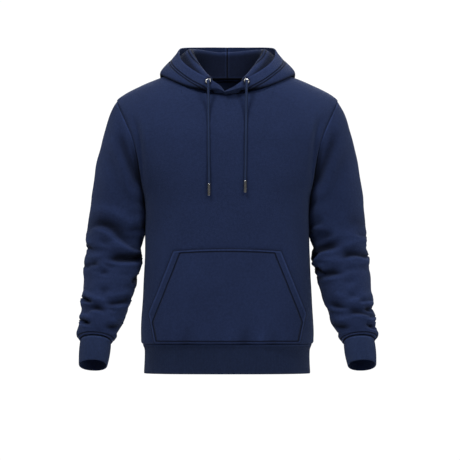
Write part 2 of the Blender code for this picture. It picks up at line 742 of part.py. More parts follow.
def eyelet(trim, hood):
    """A metal ring that stands on the hood's band; its turned profile is a flat oval."""
    point, outward = seen_at(hood, trim.top_x, trim.eyelet_z)
    mesh = bmesh.new()
    middle = (EYELET_RADIUS + EYELET_HOLE) / 2
    half = (EYELET_RADIUS - EYELET_HOLE) / 2
    profile = []
    for k in range(EYELET_SIDES):
        angle = 2 * math.pi * k / EYELET_SIDES
        place = (middle + half * math.cos(angle), 0.0, EYELET_THICK / 2 * math.sin(angle))
        profile.append(mesh.verts.new(place))
    edges = [mesh.edges.new((a, b)) for a, b in zip(profile, profile[1:] + profile[:1])]
    bmesh.ops.spin(
        mesh,
        geom=profile + edges,
        cent=(0, 0, 0),
        axis=(0, 0, 1),
        angle=2 * math.pi,
        steps=EYELET_STEPS,
        use_merge=True,
    )
    bmesh.ops.remove_doubles(mesh, verts=mesh.verts[:], dist=1e-6)
    bmesh.ops.recalc_face_normals(mesh, faces=mesh.faces[:])
    ring = placed("eyelet_" + trim.side, mesh, NICKEL, 0.25, 1.0)
    ring.rotation_euler = outward.to_track_quat("Z", "Y").to_euler()
    ring.location = point + outward * (EYELET_THICK / 2 + EYELET_LIFT)


def cord_route(trim):
    """The cord's own points, from in front of its eyelet down to its tip."""
    drops = CORD_DROPS + (Drop(CORD_END_Y, trim.end_z),)
    points = []
    for drop in drops:
        share = (drop.z - trim.eyelet_z) / (trim.end_z - trim.eyelet_z)
        x = mix(trim.top_x, trim.end_x, max(share, 0.0))
        points.append(Vector((x, drop.y, drop.z)))
    return points


def smooth_route(points, step):
    """Points at even steps on a smooth curve through the route."""
    marks = [0.0]
    for a, b in zip(points, points[1:]):
        marks.append(marks[-1] + (b - a).length)
    count = round(marks[-1] / step)
    return [
        Vector([through(marks, [p[axis] for p in points], marks[-1] * k / count) for axis in range(3)])
        for k in range(count + 1)
    ]


def drawcord(trim):
    route = smooth_route(cord_route(trim), CORD_STEP)
    data = bpy.data.curves.new("drawcord_" + trim.side, "CURVE")
    data.dimensions = "3D"
    data.bevel_depth = CORD_RADIUS
    data.bevel_resolution = 2
    data.use_fill_caps = True
    line = data.splines.new("POLY")
    line.points.add(len(route) - 1)
    for spot, place in zip(line.points, route):
        spot.co = (*place, 1.0)
    data.materials.append(material("drawcord_" + trim.side, CORD_NAVY, 0.85, 0.0))
    made = bpy.data.objects.new("drawcord_" + trim.side, data)
    bpy.context.scene.collection.objects.link(made)


def aglet(trim):
    """The metal tip: a sleeve closed over the cord's end, slightly rounded at its foot."""
    mesh = bmesh.new()
    bmesh.ops.create_cone(
        mesh,
        cap_ends=True,
        segments=AGLET_STEPS,
        radius1=AGLET_RADIUS,
        radius2=AGLET_RADIUS,
        depth=AGLET_LENGTH,
    )
    rims = [e for e in mesh.edges if abs(e.verts[0].co.z - e.verts[1].co.z) < 1e-6]
    bmesh.ops.bevel(mesh, geom=rims, offset=AGLET_ROUND, segments=2, profile=0.5, affect="EDGES", material=-1)
    tip = placed("aglet_" + trim.side, mesh, NICKEL, 0.25, 1.0)
    tip.location = (trim.end_x, CORD_END_Y, trim.end_z - SEAM_GAP - AGLET_LENGTH / 2)


def build():
    for old in list(bpy.data.objects):
        bpy.data.objects.remove(old, do_unlink=True)
    front_grid = panel("front_panel", True)
    back_grid = panel("back_panel", False)
    hem_band(front_grid, back_grid)
    for trim in TRIMS:
        sleeve(trim.side, front_grid, back_grid)
        hood = hood_half(trim.side, front_grid, back_grid)
        eyelet(trim, hood)
        drawcord(trim)
        aglet(trim)
    pocket()


build()
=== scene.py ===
"""Pullover hoodie: fleece body and sleeves, rib cuffs and hem, a hood let down behind the neck, a
kangaroo pocket, and a drawcord with metal eyelets and tips. Metres, +Z up, the front faces -Y, the
wearer's left is +X."""

import math
from collections import namedtuple

import bmesh
import bpy
import numpy as np
from bpy.props import FloatProperty, FloatVectorProperty, IntProperty, PointerProperty
from mathutils import Matrix, Vector
from mathutils.kdtree import KDTree


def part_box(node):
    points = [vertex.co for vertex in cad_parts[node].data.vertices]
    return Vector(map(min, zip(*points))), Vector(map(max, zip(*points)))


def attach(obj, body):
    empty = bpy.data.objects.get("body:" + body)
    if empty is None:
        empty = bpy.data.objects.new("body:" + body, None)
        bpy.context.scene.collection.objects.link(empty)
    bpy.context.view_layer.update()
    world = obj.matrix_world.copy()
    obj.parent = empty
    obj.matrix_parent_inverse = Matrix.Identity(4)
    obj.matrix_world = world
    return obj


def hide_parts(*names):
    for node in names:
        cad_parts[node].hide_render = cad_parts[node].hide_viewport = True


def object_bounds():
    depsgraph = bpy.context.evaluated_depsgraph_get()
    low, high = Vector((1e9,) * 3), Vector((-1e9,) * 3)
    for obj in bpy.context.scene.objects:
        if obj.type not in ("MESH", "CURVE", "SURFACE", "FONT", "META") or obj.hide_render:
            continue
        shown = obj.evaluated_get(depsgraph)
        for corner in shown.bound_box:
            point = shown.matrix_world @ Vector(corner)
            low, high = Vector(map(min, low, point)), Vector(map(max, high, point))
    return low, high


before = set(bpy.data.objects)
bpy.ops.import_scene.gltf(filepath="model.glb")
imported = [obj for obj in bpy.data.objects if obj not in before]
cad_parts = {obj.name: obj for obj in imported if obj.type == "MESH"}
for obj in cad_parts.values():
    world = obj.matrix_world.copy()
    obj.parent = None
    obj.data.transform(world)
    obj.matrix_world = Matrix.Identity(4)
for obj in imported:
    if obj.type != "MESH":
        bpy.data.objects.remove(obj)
CAD_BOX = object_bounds()

bl_info = {
    "name": "Pullover hoodie",
    "version": (1, 0, 0),
    "blender": (4, 5, 0),
    "location": "3D View > Sidebar > Hoodie",
    "description": "Builds the cloth, trimmings and stage of a pullover hoodie on its packed frame",
    "category": "Object",
}

# The garment's own form, in metres
HEM_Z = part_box("hem_rib")[0][2]
HEM_SEAM_Z = HEM_Z + 0.070
CAP_Z = -0.170
SIDE_POWER = 2.5
NECK_HALF = 0.108
NECK_TOP_Z = -0.0075
NECK_FRONT_Z = -0.060
NECK_BACK_Z = -0.022
NECK_POWER = 3.2
NECK_AXIS_Y = -0.010
NECK_SHARE = 0.45
SIDE_SHARE = 0.55

Level = namedtuple("Level", "z half_width front back")
LEVELS = (
    Level(-0.700, 0.1915, 0.126, 0.116),
    Level(-0.646, 0.1895, 0.125, 0.115),
    Level(-0.630, 0.1950, 0.129, 0.119),
    Level(-0.590, 0.1955, 0.131, 0.121),
    Level(-0.450, 0.1882, 0.127, 0.115),
    Level(-0.377, 0.1864, 0.127, 0.113),
    Level(-0.300, 0.1900, 0.132, 0.120),
    Level(-0.250, 0.2080, 0.136, 0.126),
    Level(-0.200, 0.2280, 0.137, 0.129),
    Level(-0.150, 0.2460, 0.134, 0.129),
    Level(-0.100, 0.2620, 0.128, 0.126),
    Level(-0.050, 0.2740, 0.124, 0.122),
    Level(0.020, 0.2820, 0.124, 0.122),
)
Place = namedtuple("Place", "x z")
SHOULDER_LINE = (
    Place(0.000, 0.012),
    Place(0.060, 0.008),
    Place(0.108, -0.0075),
    Place(0.159, -0.025),
    Place(0.195, -0.040),
    Place(0.230, -0.057),
    Place(0.253, -0.0736),
    Place(0.290, -0.108),
)
ARMHOLE_LINE = (
    Place(0.1900, -0.3000),
    Place(0.1920, -0.2850),
    Place(0.1970, -0.2520),
    Place(0.2056, -0.1990),
    Place(0.2167, -0.1550),
    Place(0.2340, -0.1155),
    Place(0.2455, -0.0920),
    Place(0.2530, -0.0736),
)
Ring = namedtuple("Ring", "outer_x outer_z inner_x inner_z middle_y half_depth tilt")
SLEEVE_RINGS = (
    Ring(0.2530, -0.0736, 0.1900, -0.3000, 0.000, 0.078, 0),
    Ring(0.2700, -0.1050, 0.1955, -0.3200, 0.002, 0.084, 0),
    Ring(0.2835, -0.1480, 0.1965, -0.3360, 0.004, 0.084, 0),
    Ring(0.2960, -0.1960, 0.1960, -0.3480, 0.006, 0.081, 0),
    Ring(0.3055, -0.2500, 0.1950, -0.3600, 0.008, 0.078, 0),
    Ring(0.3150, -0.3080, 0.1945, -0.3730, 0.009, 0.075, 2),
    Ring(0.3240, -0.3660, 0.1950, -0.3900, 0.008, 0.072, 5),
    Ring(0.3225, -0.4150, 0.1980, -0.4180, 0.004, 0.070, 9),
    Ring(0.3300, -0.4600, 0.2010, -0.4600, -0.006, 0.066, 13),
    Ring(0.3345, -0.5100, 0.2180, -0.5080, -0.020, 0.062, 16),
    Ring(0.3385, -0.5560, 0.2320, -0.5560, -0.036, 0.057, 19),
    Ring(0.3440, -0.5960, 0.2500, -0.5980, -0.051, 0.051, 22),
    Ring(0.3365, -0.6225, 0.2660, -0.6270, -0.062, 0.036, 24),
)
CUFF_END = Ring(0.3406, -0.6785, 0.2746, -0.6810, -0.087, 0.034, 24)
SLEEVE_POWER = 2.2
ARMHOLE_BLEND = 0.45

Section = namedtuple("Section", "azimuth ridge_out ridge_z fold_out fold_z edge_out edge_z bulge")
HOOD_SECTIONS = (
    Section(0, 0.095, -0.055, 0.106, -0.0590, 0.100, -0.0545, 0.001),
    Section(14, 0.088, -0.039, 0.110, -0.0510, 0.101, -0.0355, 0.002),
    Section(29, 0.080, -0.024, 0.113, -0.0465, 0.101, -0.0210, 0.003),
    Section(49, 0.074, -0.003, 0.121, -0.0400, 0.099, -0.0065, 0.004),
    Section(75, 0.072, 0.019, 0.145, -0.0200, 0.104, 0.0140, 0.005),
    Section(98, 0.080, 0.038, 0.158, -0.0120, 0.112, 0.0340, 0.004),
    Section(110, 0.083, 0.040, 0.167, -0.0200, 0.118, 0.0440, 0.002),
    Section(122, 0.086, 0.041, 0.178, -0.0470, 0.124, 0.0490, 0.003),
    Section(137, 0.086, 0.040, 0.183, -0.1020, 0.130, 0.0515, 0.006),
    Section(152, 0.086, 0.038, 0.182, -0.1560, 0.134, 0.0525, 0.010),
    Section(166, 0.085, 0.036, 0.180, -0.1860, 0.136, 0.0530, 0.012),
    Section(180, 0.085, 0.036, 0.178, -0.1960, 0.137, 0.0530, 0.012),
)
FOLD_GAP = 0.017
RIDGE_WIDTH = 0.014
FOLD_STARTS = 13.0
FOLD_FULL = 27.0
LAP = 0.006
LAP_LIFT = 0.0045
LAP_AZIMUTH = 24.0

POCKET_TOP = Place(0.122, -0.4175)
POCKET_CORNER = Place(0.178, -0.5630)
POCKET_FOOT = Place(0.166, -0.6290)
POCKET_BOW = 0.005
POCKET_EDGE_LIFT = 0.0026
POCKET_FULL_LIFT = 0.0042
POCKET_SPREAD = 0.38 * np.pi

# Rows of stitches, each in from the edge or seam beside it
HEM_STITCH = 0.0070
NECK_STITCH = 0.0095
ARMHOLE_STITCH = 0.0062
CUFF_STITCH = 0.0065
HOOD_STITCH = 0.0260
TWIN_ROWS = 0.0054
POCKET_TOP_STITCH = 0.0070
POCKET_HAND_STITCH = 0.0165
POCKET_FOOT_STITCH = 0.0045
STITCH_SINK = 0.0003
SEAM_ROLL = 0.0028

# Rows and columns of the meshes
NECK_COLUMNS = 34
SHOULDER_COLUMNS = 34
SIDE_ROWS = 86
ARMHOLE_ROWS = 92
SLEEVE_AROUND = 120
HOOD_ALONG = 120
HOOD_AROUND = 124
CUFF_ALONG = 20
CUFF_AROUND = 96
HEM_ALONG = 22
HEM_AROUND = 260
POCKET_LOWER = 24
POCKET_UPPER = 56
POCKET_HALF = 66
CORD_AROUND = 16
CORD_STEP = 0.0012

AHEAD = (0.0, -1.0, 0.0)
BEHIND = (0.0, 1.0, 0.0)
MM = 0.001

Cloth = namedtuple("Cloth", "size outside inside slot")
CLOTHS = {
    "fleece": Cloth("fleece", "brushed navy fleece", "napped inside", "fleece"),
    "hood": Cloth("hood", "navy fleece, twin stitched", "navy fleece, twin stitched", "fleece"),
    "rib": Cloth("rib", "navy rib knit", "napped inside", "rib"),
}

Trim = namedtuple("Trim", "side top_x end_x eyelet_z end_z")
TRIMS = (
    Trim("left", 0.0440, 0.0409, -0.0310, -0.2576),
    Trim("right", -0.0435, -0.0416, -0.0310, -0.2645),
)
Drop = namedtuple("Drop", "y z")
CORD_DROPS = (
    Drop(-0.1134, -0.0296),
    Drop(-0.1166, -0.0300),
    Drop(-0.1200, -0.0320),
    Drop(-0.1225, -0.0352),
    Drop(-0.1239, -0.0395),
    Drop(-0.1244, -0.0445),
    Drop(-0.1244, -0.0540),
    Drop(-0.1244, -0.0660),
    Drop(-0.1248, -0.0800),
    Drop(-0.1260, -0.0950),
    Drop(-0.1284, -0.1120),
    Drop(-0.1322, -0.1300),
    Drop(-0.1365, -0.1500),
    Drop(-0.1392, -0.1720),
    Drop(-0.1404, -0.1950),
    Drop(-0.1406, -0.2180),
    Drop(-0.1402, -0.2400),
)
CORD_END_Y = -0.1397

# Creases, in millimetres: three points of each in x and z, its depth at each of them, and how wide its
# banks are: the steep bank is on the right of the way it runs, the soft bank on the left.
Crease = namedtuple("Crease", "x1 z1 x2 z2 x3 z3 deep1 deep2 deep3 steep soft")
FRONT_CREASES = (
    Crease(-222, -104, -203, -165, -193, -300, 0.0, 3.6, 0.0, 6, 9),
    Crease(222, -104, 203, -165, 193, -300, 0.0, 3.6, 0.0, 9, 6),
    Crease(128, -368, 146, -450, 172, -525, 0.0, -1.6, 0.0, 10, 16),
    Crease(-140, -380, -154, -450, -168, -520, 0.0, -1.0, 0.0, 16, 12),
    Crease(-95, -628, -92, -608, -84, -580, 1.6, 1.0, 0.0, 16, 14),
    Crease(38, -628, 42, -606, 50, -575, 1.8, 1.2, 0.0, 16, 18),
    Crease(104, -628, 106, -612, 112, -592, 1.6, 0.9, 0.0, 12, 14),
)
BACK_CREASES = (
    Crease(-222, -108, -204, -165, -194, -300, 0.0, 3.4, 0.0, 6, 9),
    Crease(222, -108, 204, -165, 194, -300, 0.0, 3.4, 0.0, 9, 6),
    Crease(-150, -330, -90, -372, -20, -380, 0.0, 1.8, 0.0, 12, 22),
    Crease(20, -350, 90, -362, 160, -330, 0.0, 1.6, 0.0, 12, 22),
    Crease(-160, -420, -110, -470, -70, -560, 0.0, 1.5, 0.0, 16, 22),
    Crease(120, -400, 100, -480, 110, -570, 0.0, 1.4, 0.0, 20, 16),
    Crease(-40, -628, -36, -604, -30, -575, 1.6, 1.0, 0.0, 16, 16),
    Crease(72, -628, 70, -606, 60, -585, 1.6, 0.9, 0.0, 14, 16),
)
SLEEVE_CREASES = {
    "right": (
        Crease(-201, -250, -236, -178, -252, -125, 4.3, 3.7, 0.0, 10, 18),
        Crease(-226, -305, -262, -220, -276, -160, 0.6, 2.2, 0.0, 12, 16),
        Crease(-322, -372, -283, -360, -216, -410, 2.0, 5.4, 3.9, 7, 18),
        Crease(-238, -362, -218, -368, -200, -364, 0.0, 3.4, 4.6, 7, 12),
        Crease(-302, -386, -278, -398, -254, -408, 0.0, 2.3, 0.0, 6, 10),
        Crease(-324, -408, -314, -411, -302, -414, 5.8, 3.4, 0.0, 5, 7),
        Crease(-294, -428, -246, -437, -205, -436, 0.0, 7.5, 8.6, 6, 16),
        Crease(-322, -453, -303, -447, -283, -453, 2.7, 4.3, 0.0, 5, 9),
        Crease(-290, -442, -272, -451, -251, -462, 0.0, 2.4, 0.0, 6, 9),
        Crease(-300, -472, -283, -467, -260, -472, 0.0, 3.5, 0.0, 5, 9),
        Crease(-226, -493, -218, -491, -210, -488, 0.0, 4.1, 5.4, 5, 9),
        Crease(-311, -502, -286, -506, -262, -503, 0.0, 2.7, 0.0, 6, 9),
        Crease(-304, -515, -288, -517, -274, -515, 0.0, 2.0, 0.0, 5, 8),
        Crease(-330, -529, -320, -532, -308, -535, 7.4, 4.7, 0.0, 4, 7),
        Crease(-290, -536, -262, -538, -232, -534, 0.0, 4.7, 4.7, 5, 9),
        Crease(-325, -556, -302, -548, -268, -566, 2.0, 5.4, 0.0, 5, 10),
        Crease(-284, -546, -268, -551, -252, -559, 0.0, 2.2, 0.0, 5, 8),
        Crease(-334, -580, -326, -583, -314, -587, 6.8, 4.1, 0.0, 4, 7),
        Crease(-293, -584, -264, -594, -246, -588, 0.0, 5.1, 2.7, 5, 9),
    ),
    "left": (
        Crease(252, -125, 236, -178, 201, -250, 0.0, 3.7, 4.3, 10, 18),
        Crease(276, -160, 262, -220, 226, -305, 0.0, 2.2, 0.6, 12, 16),
        Crease(200, -368, 218, -357, 234, -352, 4.4, 2.8, 0.0, 7, 12),
        Crease(272, -340, 296, -350, 316, -355, 0.0, 2.4, 2.2, 16, 20),
        Crease(204, -392, 228, -384, 262, -364, 2.2, 3.9, 0.0, 7, 15),
        Crease(196, -436, 232, -413, 284, -408, 8.8, 7.2, 0.0, 6, 17),
        Crease(298, -388, 308, -384, 320, -386, 0.0, 2.2, 2.8, 5, 8),
        Crease(261, -445, 284, -427, 319, -430, 0.0, 5.5, 4.4, 5, 12),
        Crease(204, -462, 213, -466, 226, -466, 6.6, 5.5, 0.0, 5, 7),
        Crease(209, -484, 242, -470, 290, -466, 3.3, 5.5, 0.0, 6, 15),
        Crease(270, -455, 286, -460, 306, -455, 0.0, 1.5, 0.0, 6, 8),
        Crease(262, -494, 282, -488, 304, -482, 0.0, 1.8, 0.0, 6, 9),
        Crease(272, -522, 290, -520, 310, -512, 0.0, 2.2, 0.0, 5, 8),
        Crease(300, -532, 314, -532, 330, -530, 0.0, 2.6, 1.7, 4, 7),
        Crease(226, -530, 252, -545, 296, -542, 0.0, 5.0, 0.0, 5, 13),
        Crease(262, -570, 294, -557, 332, -566, 0.0, 5.1, 3.3, 5, 12),
        Crease(318, -548, 324, -549, 332, -551, 0.0, 2.8, 5.5, 4, 6),
        Crease(232, -584, 262, -594, 298, -588, 2.2, 5.0, 0.0, 5, 10),
        Crease(318, -587, 326, -589, 336, -592, 0.0, 2.8, 5.0, 4, 6),
    ),
}
SLEEVE_BACK_CREASES = (
    Crease(250, -128, 232, -180, 205, -250, 0.0, 3.5, 4.2, 10, 16),
    Crease(280, -170, 262, -232, 232, -300, 0.0, 2.1, 0.0, 12, 16),
    Crease(200, -372, 236, -380, 286, -366, 4.0, 4.5, 0.0, 7, 15),
    Crease(198, -420, 244, -432, 300, -416, 5.0, 6.0, 0.0, 6, 16),
    Crease(262, -398, 290, -404, 322, -396, 0.0, 3.0, 4.0, 5, 10),
    Crease(210, -474, 246, -486, 292, -478, 4.0, 5.0, 0.0, 6, 14),
    Crease(270, -450, 296, -456, 326, -448, 0.0, 2.6, 3.0, 5, 10),
    Crease(236, -520, 270, -532, 318, -520, 0.0, 3.6, 2.0, 5, 12),
    Crease(228, -548, 262, -560, 300, -556, 3.0, 4.2, 0.0, 5, 12),
    Crease(276, -580, 304, -572, 334, -578, 0.0, 3.4, 3.0, 5, 9),
)
Outline = namedtuple("Outline", "z outer inner")
SLEEVE_OUTLINES = {
    "right": (
        Outline(-300, 311.5, 187.5),
        Outline(-340, 318.5, 185.6),
        Outline(-372, 323.5, 185.8),
        Outline(-386, 326.0, 190.6),
        Outline(-404, 325.4, 194.6),
        Outline(-413, 324.4, 196.4),
        Outline(-422, 324.4, 195.8),
        Outline(-436, 328.4, 194.0),
        Outline(-450, 330.4, 195.2),
        Outline(-468, 331.6, 201.3),
        Outline(-480, 330.0, 206.5),
        Outline(-496, 330.4, 208.0),
        Outline(-514, 332.4, 213.9),
        Outline(-525, 336.6, 217.8),
        Outline(-533, 338.0, 219.4),
        Outline(-542, 337.0, 222.9),
        Outline(-551, 334.6, 226.4),
        Outline(-562, 337.6, 230.4),
        Outline(-574, 341.0, 233.6),
        Outline(-586, 340.6, 238.4),
        Outline(-597, 343.5, 246.2),
        Outline(-606, 346.4, 251.4),
        Outline(-616, 345.2, 252.2),
        Outline(-630, 337.0, 262.0),
    ),
    "left": (
        Outline(-300, 311.5, 187.0),
        Outline(-340, 316.5, 185.2),
        Outline(-372, 320.0, 185.4),
        Outline(-385, 321.2, 187.8),
        Outline(-404, 320.8, 193.0),
        Outline(-413, 320.6, 195.2),
        Outline(-422, 324.0, 193.4),
        Outline(-431, 326.8, 192.1),
        Outline(-441, 327.7, 192.4),
        Outline(-450, 327.2, 194.2),
        Outline(-459, 326.0, 198.0),
        Outline(-468, 328.2, 201.4),
        Outline(-480, 329.8, 205.4),
        Outline(-496, 330.2, 208.2),
        Outline(-510, 330.8, 213.4),
        Outline(-524, 335.0, 216.8),
        Outline(-533, 336.4, 218.8),
        Outline(-542, 335.6, 222.4),
        Outline(-551, 333.0, 228.4),
        Outline(-561, 338.4, 232.6),
        Outline(-574, 341.6, 233.6),
        Outline(-586, 340.6, 237.6),
        Outline(-597, 342.6, 246.0),
        Outline(-606, 346.8, 252.6),
        Outline(-616, 345.6, 253.2),
        Outline(-630, 337.0, 262.0),
    ),
}


class HoodieSizes(bpy.types.PropertyGroup):
    """Sizes of the cloth and its sewing"""

    fleece: FloatProperty(
        name="Fleece", description="Thickness of the body's cloth", default=0.0022, unit="LENGTH"
    )
    hood: FloatProperty(
        name="Hood cloth", description="Thickness of the hood's cloth", default=0.0026, unit="LENGTH"
    )
    rib: FloatProperty(
        name="Rib", description="Thickness of the cuffs and hem band", default=0.0026, unit="LENGTH"
    )
    rib_pitch: FloatProperty(
        name="Rib pitch", description="From one rib to the next", default=0.0030, unit="LENGTH", precision=4
    )
    stitch: FloatProperty(
        name="Stitch", description="From one stitch to the next", default=0.0034, unit="LENGTH"
    )
    thread: FloatProperty(
        name="Thread", description="Radius of the sewing thread", default=0.00035, unit="LENGTH", precision=5
    )
    cord: FloatProperty(
        name="Drawcord", description="Thickness of the drawcord", default=0.0066, unit="LENGTH"
    )
    creasing: FloatProperty(
        name="Creasing", description="How deep the creases are", default=1.8, subtype="FACTOR"
    )
    detail: IntProperty(name="Detail", description="Rows of mesh along a sleeve", default=280)


class HoodieColours(bpy.types.PropertyGroup):
    """Colours of the cloth and its trimmings"""

    fleece: FloatVectorProperty(
        name="Fleece",
        description="Body, sleeves, hood and pocket",
        subtype="COLOR",
        default=(0.0158, 0.0268, 0.0775),
    )
    rib: FloatVectorProperty(
        name="Rib", description="Cuffs and hem band", subtype="COLOR", default=(0.0130, 0.0222, 0.0600)
    )
    cord: FloatVectorProperty(
        name="Drawcord", description="Braided cord", subtype="COLOR", default=(0.0215, 0.0380, 0.1000)
    )
    thread: FloatVectorProperty(
        name="Thread", description="Sewing thread", subtype="COLOR", default=(0.0150, 0.0250, 0.0660)
    )
    metal: FloatVectorProperty(
        name="Metal", description="Eyelets and tips", subtype="COLOR", default=(0.30, 0.30, 0.30)
    )
    floor: FloatVectorProperty(name="Floor", description="Floor", subtype="COLOR", default=(0.82, 0.82, 0.82))


# Working out the form


def through(xs, ys, x):
    """Values at x of a smooth line through the points, each slope taken from its neighbours."""
    xs, ys = np.asarray(xs, float), np.asarray(ys, float)
    x = np.clip(x, xs[0], xs[-1])
    i = np.clip(np.searchsorted(xs, x, side="right") - 1, 0, len(xs) - 2)
    low = np.maximum(np.arange(len(xs)) - 1, 0)
    high = np.minimum(np.arange(len(xs)) + 1, len(xs) - 1)
    slope = (ys[high] - ys[low]) / (xs[high] - xs[low])
    step = xs[i + 1] - xs[i]
    t = (x - xs[i]) / step
    rising = (2 * t**3 - 3 * t**2 + 1) * ys[i] + (t**3 - 2 * t**2 + t) * step * slope[i]
    return rising + (3 * t**2 - 2 * t**3) * ys[i + 1] + (t**3 - t**2) * step * slope[i + 1]


def column(table, name):
    return [getattr(row, name) for row in table]


def looked_up(table, by, name, at):
    """One column of a table where another column has these values."""
    return through(column(table, by), column(table, name), at)


def row_at(table, marks, at):
    """A row between the rows of a table, each of its columns taken at the same marks."""
    return type(table[0])(*(through(marks, column(table, name), at) for name in table[0]._fields))


def level(name, z):
    return looked_up(LEVELS, "z", name, z)


def shoulder_z(x):
    return looked_up(SHOULDER_LINE, "x", "z", np.abs(x))


def smooth(t):
    t = np.clip(t, 0.0, 1.0)
    return t * t * (3 - 2 * t)


def mix(a, b, t):
    return a + (b - a) * t


def bell(value, width):
    """1 where a value is nought, falling away on both sides of it."""
    return np.exp(-((value / width) ** 2))


def steps(count, ends=0.0):
    """count + 1 shares from 0 to 1, closer together towards both ends."""
    t = np.linspace(0, 1, count + 1)
    return t - ends * np.sin(2 * np.pi * t) / (2 * np.pi)


def body_point(turn, rise, front):
    """Points of the body cloth: turn is 0 at the centre and 1 at the side, rise is -1 at the hem seam, 0
    where the cloth starts to round over, and 1 on the shoulder seam."""
    turn, rise = np.broadcast_arrays(np.clip(turn, 0, 1), np.clip(rise, -1, 1))
    z = CAP_Z + np.minimum(rise, 0.0) * (CAP_Z - HEM_SEAM_Z)
    across = np.sin(turn * np.pi / 2) ** (2 / SIDE_POWER)
    x = level("half_width", z) * across
    over = np.maximum(rise, 0.0) * np.pi / 2
    for _ in range(16):
        z = np.where(rise > 0, CAP_Z + (shoulder_z(x) - CAP_Z) * np.sin(over), z)
        x = np.where(rise > 0, level("half_width", z) * across, x)
    depth = -level("front", z) if front else level("back", z)
    y = depth * np.maximum(np.cos(turn * np.pi / 2), 0.0) ** (2 / SIDE_POWER) * np.cos(over)
    return np.stack([x, y, z], -1)


def body_place(x, z):
    """The (turn, rise) of the body cloth that is seen at x and z."""
    share = np.minimum(np.abs(x) / level("half_width", z), 1.0)
    turn = np.arcsin(share ** (SIDE_POWER / 2)) / (np.pi / 2)
    up = np.clip((z - CAP_Z) / (shoulder_z(x) - CAP_Z), 0.0, 1.0)
    low = (z - CAP_Z) / (CAP_Z - HEM_SEAM_Z)
    return np.stack([turn, np.where(z <= CAP_Z, low, np.arcsin(up) / (np.pi / 2))], -1)


def lengths_along(points):
    """Distances from the first point along a line, or down each column of a grid."""
    runs = np.cumsum(np.linalg.norm(np.diff(points, axis=0), axis=-1), 0)
    return np.concatenate([np.zeros_like(runs[:1]), runs])


def found_along(at, lengths, values):
    """Each column of the values, at these distances along their line."""
    return np.stack([np.interp(at, lengths, values[:, k]) for k in range(values.shape[1])], -1)


def places_at(places, shares, front):
    """The (turn, rise) places at these shares of the cloth's length along a line of them."""
    lengths = lengths_along(body_point(places[:, 0], places[:, 1], front))
    return found_along(shares * lengths[-1], lengths, places)


def armhole_places(shares, front):
    """From the armpit up to the shoulder point."""
    zs, xs = column(ARMHOLE_LINE, "z"), column(ARMHOLE_LINE, "x")
    heights = mix(zs[0], zs[-1], np.linspace(0, 1, 240) ** 2)
    return places_at(body_place(through(zs, xs, heights), heights), shares, front)


def neck_places(shares, front):
    """From the centre of the neckline to its highest point on the shoulder."""
    low_z = NECK_FRONT_Z if front else NECK_BACK_Z
    angle = np.linspace(0, np.pi / 2, 160)
    x = NECK_HALF * np.sin(angle) ** (2 / NECK_POWER)
    z = NECK_TOP_Z - (NECK_TOP_Z - low_z) * np.maximum(np.cos(angle), 0) ** (2 / NECK_POWER)
    return places_at(body_place(x, z), shares, front)


def blended(a, b, t):
    return a + (b - a) * t[..., None]


def body_grid(front):
    """Rows of points from the hem seam up, each from the wearer's right side to the left."""
    neck = neck_places(steps(NECK_COLUMNS, 0.2), front)
    armhole = armhole_places(steps(ARMHOLE_ROWS, 0.2), front)
    turns = mix(neck[-1, 0], armhole[-1, 0], steps(SHOULDER_COLUMNS))[1:]
    top = np.concatenate([neck, np.stack([turns, np.ones(len(turns))], -1)])
    rises = mix(-1.0, armhole[0, 1], steps(SIDE_ROWS, 0.2))
    edge = np.concatenate([np.stack([np.ones(len(rises)), rises], -1), armhole[1:]])
    across = mix(NECK_SHARE, 1, steps(SHOULDER_COLUMNS))[1:]
    up = mix(SIDE_SHARE, 1, steps(ARMHOLE_ROWS))[1:]
    u = np.concatenate([NECK_SHARE * steps(NECK_COLUMNS), across])
    v = np.concatenate([SIDE_SHARE * steps(SIDE_ROWS), up])
    u, v = np.meshgrid(u, v)
    bottom = np.stack([u, -np.ones_like(u)], -1)
    centre = np.stack([np.zeros_like(v), mix(-1.0, top[0, 1], v)], -1)
    corners = blended(
        blended(np.array([0.0, -1.0]), np.array([1.0, -1.0]), u), blended(top[0], top[-1], u), v
    )
    place = blended(bottom, top[None, :, :], v) + blended(centre, edge[:, None, :], u) - corners
    half = body_point(place[..., 0], place[..., 1], front)
    other = half[:, :0:-1] * np.array([-1.0, 1.0, 1.0])
    return np.concatenate([other, half], 1)


def ring_at(share):
    """The sleeve's ring at a share of the way from the armhole to the cuff."""
    marks = np.arange(len(SLEEVE_RINGS))
    return row_at(SLEEVE_RINGS, marks, np.asarray(share) * marks[-1])


def ring_points(ring, angles):
    """Rings of a sleeve: angle 0 is the inner edge, a quarter turn the front, half a turn the outer edge."""
    outer = np.stack([ring.outer_x, ring.middle_y, ring.outer_z], -1)
    inner = np.stack([ring.inner_x, ring.middle_y, ring.inner_z], -1)
    middle, reach = (outer + inner) / 2, (outer - inner) / 2
    tilt = np.radians(ring.tilt)
    back = np.stack([np.zeros_like(tilt), np.cos(tilt), -np.sin(tilt)], -1) * ring.half_depth[..., None]

    def squared(value):
        return (np.sign(value) * np.abs(value) ** (2 / SLEEVE_POWER))[..., None]

    across = reach[:, None] * squared(np.cos(angles))
    return middle[:, None] - across - back[:, None] * squared(np.sin(angles))


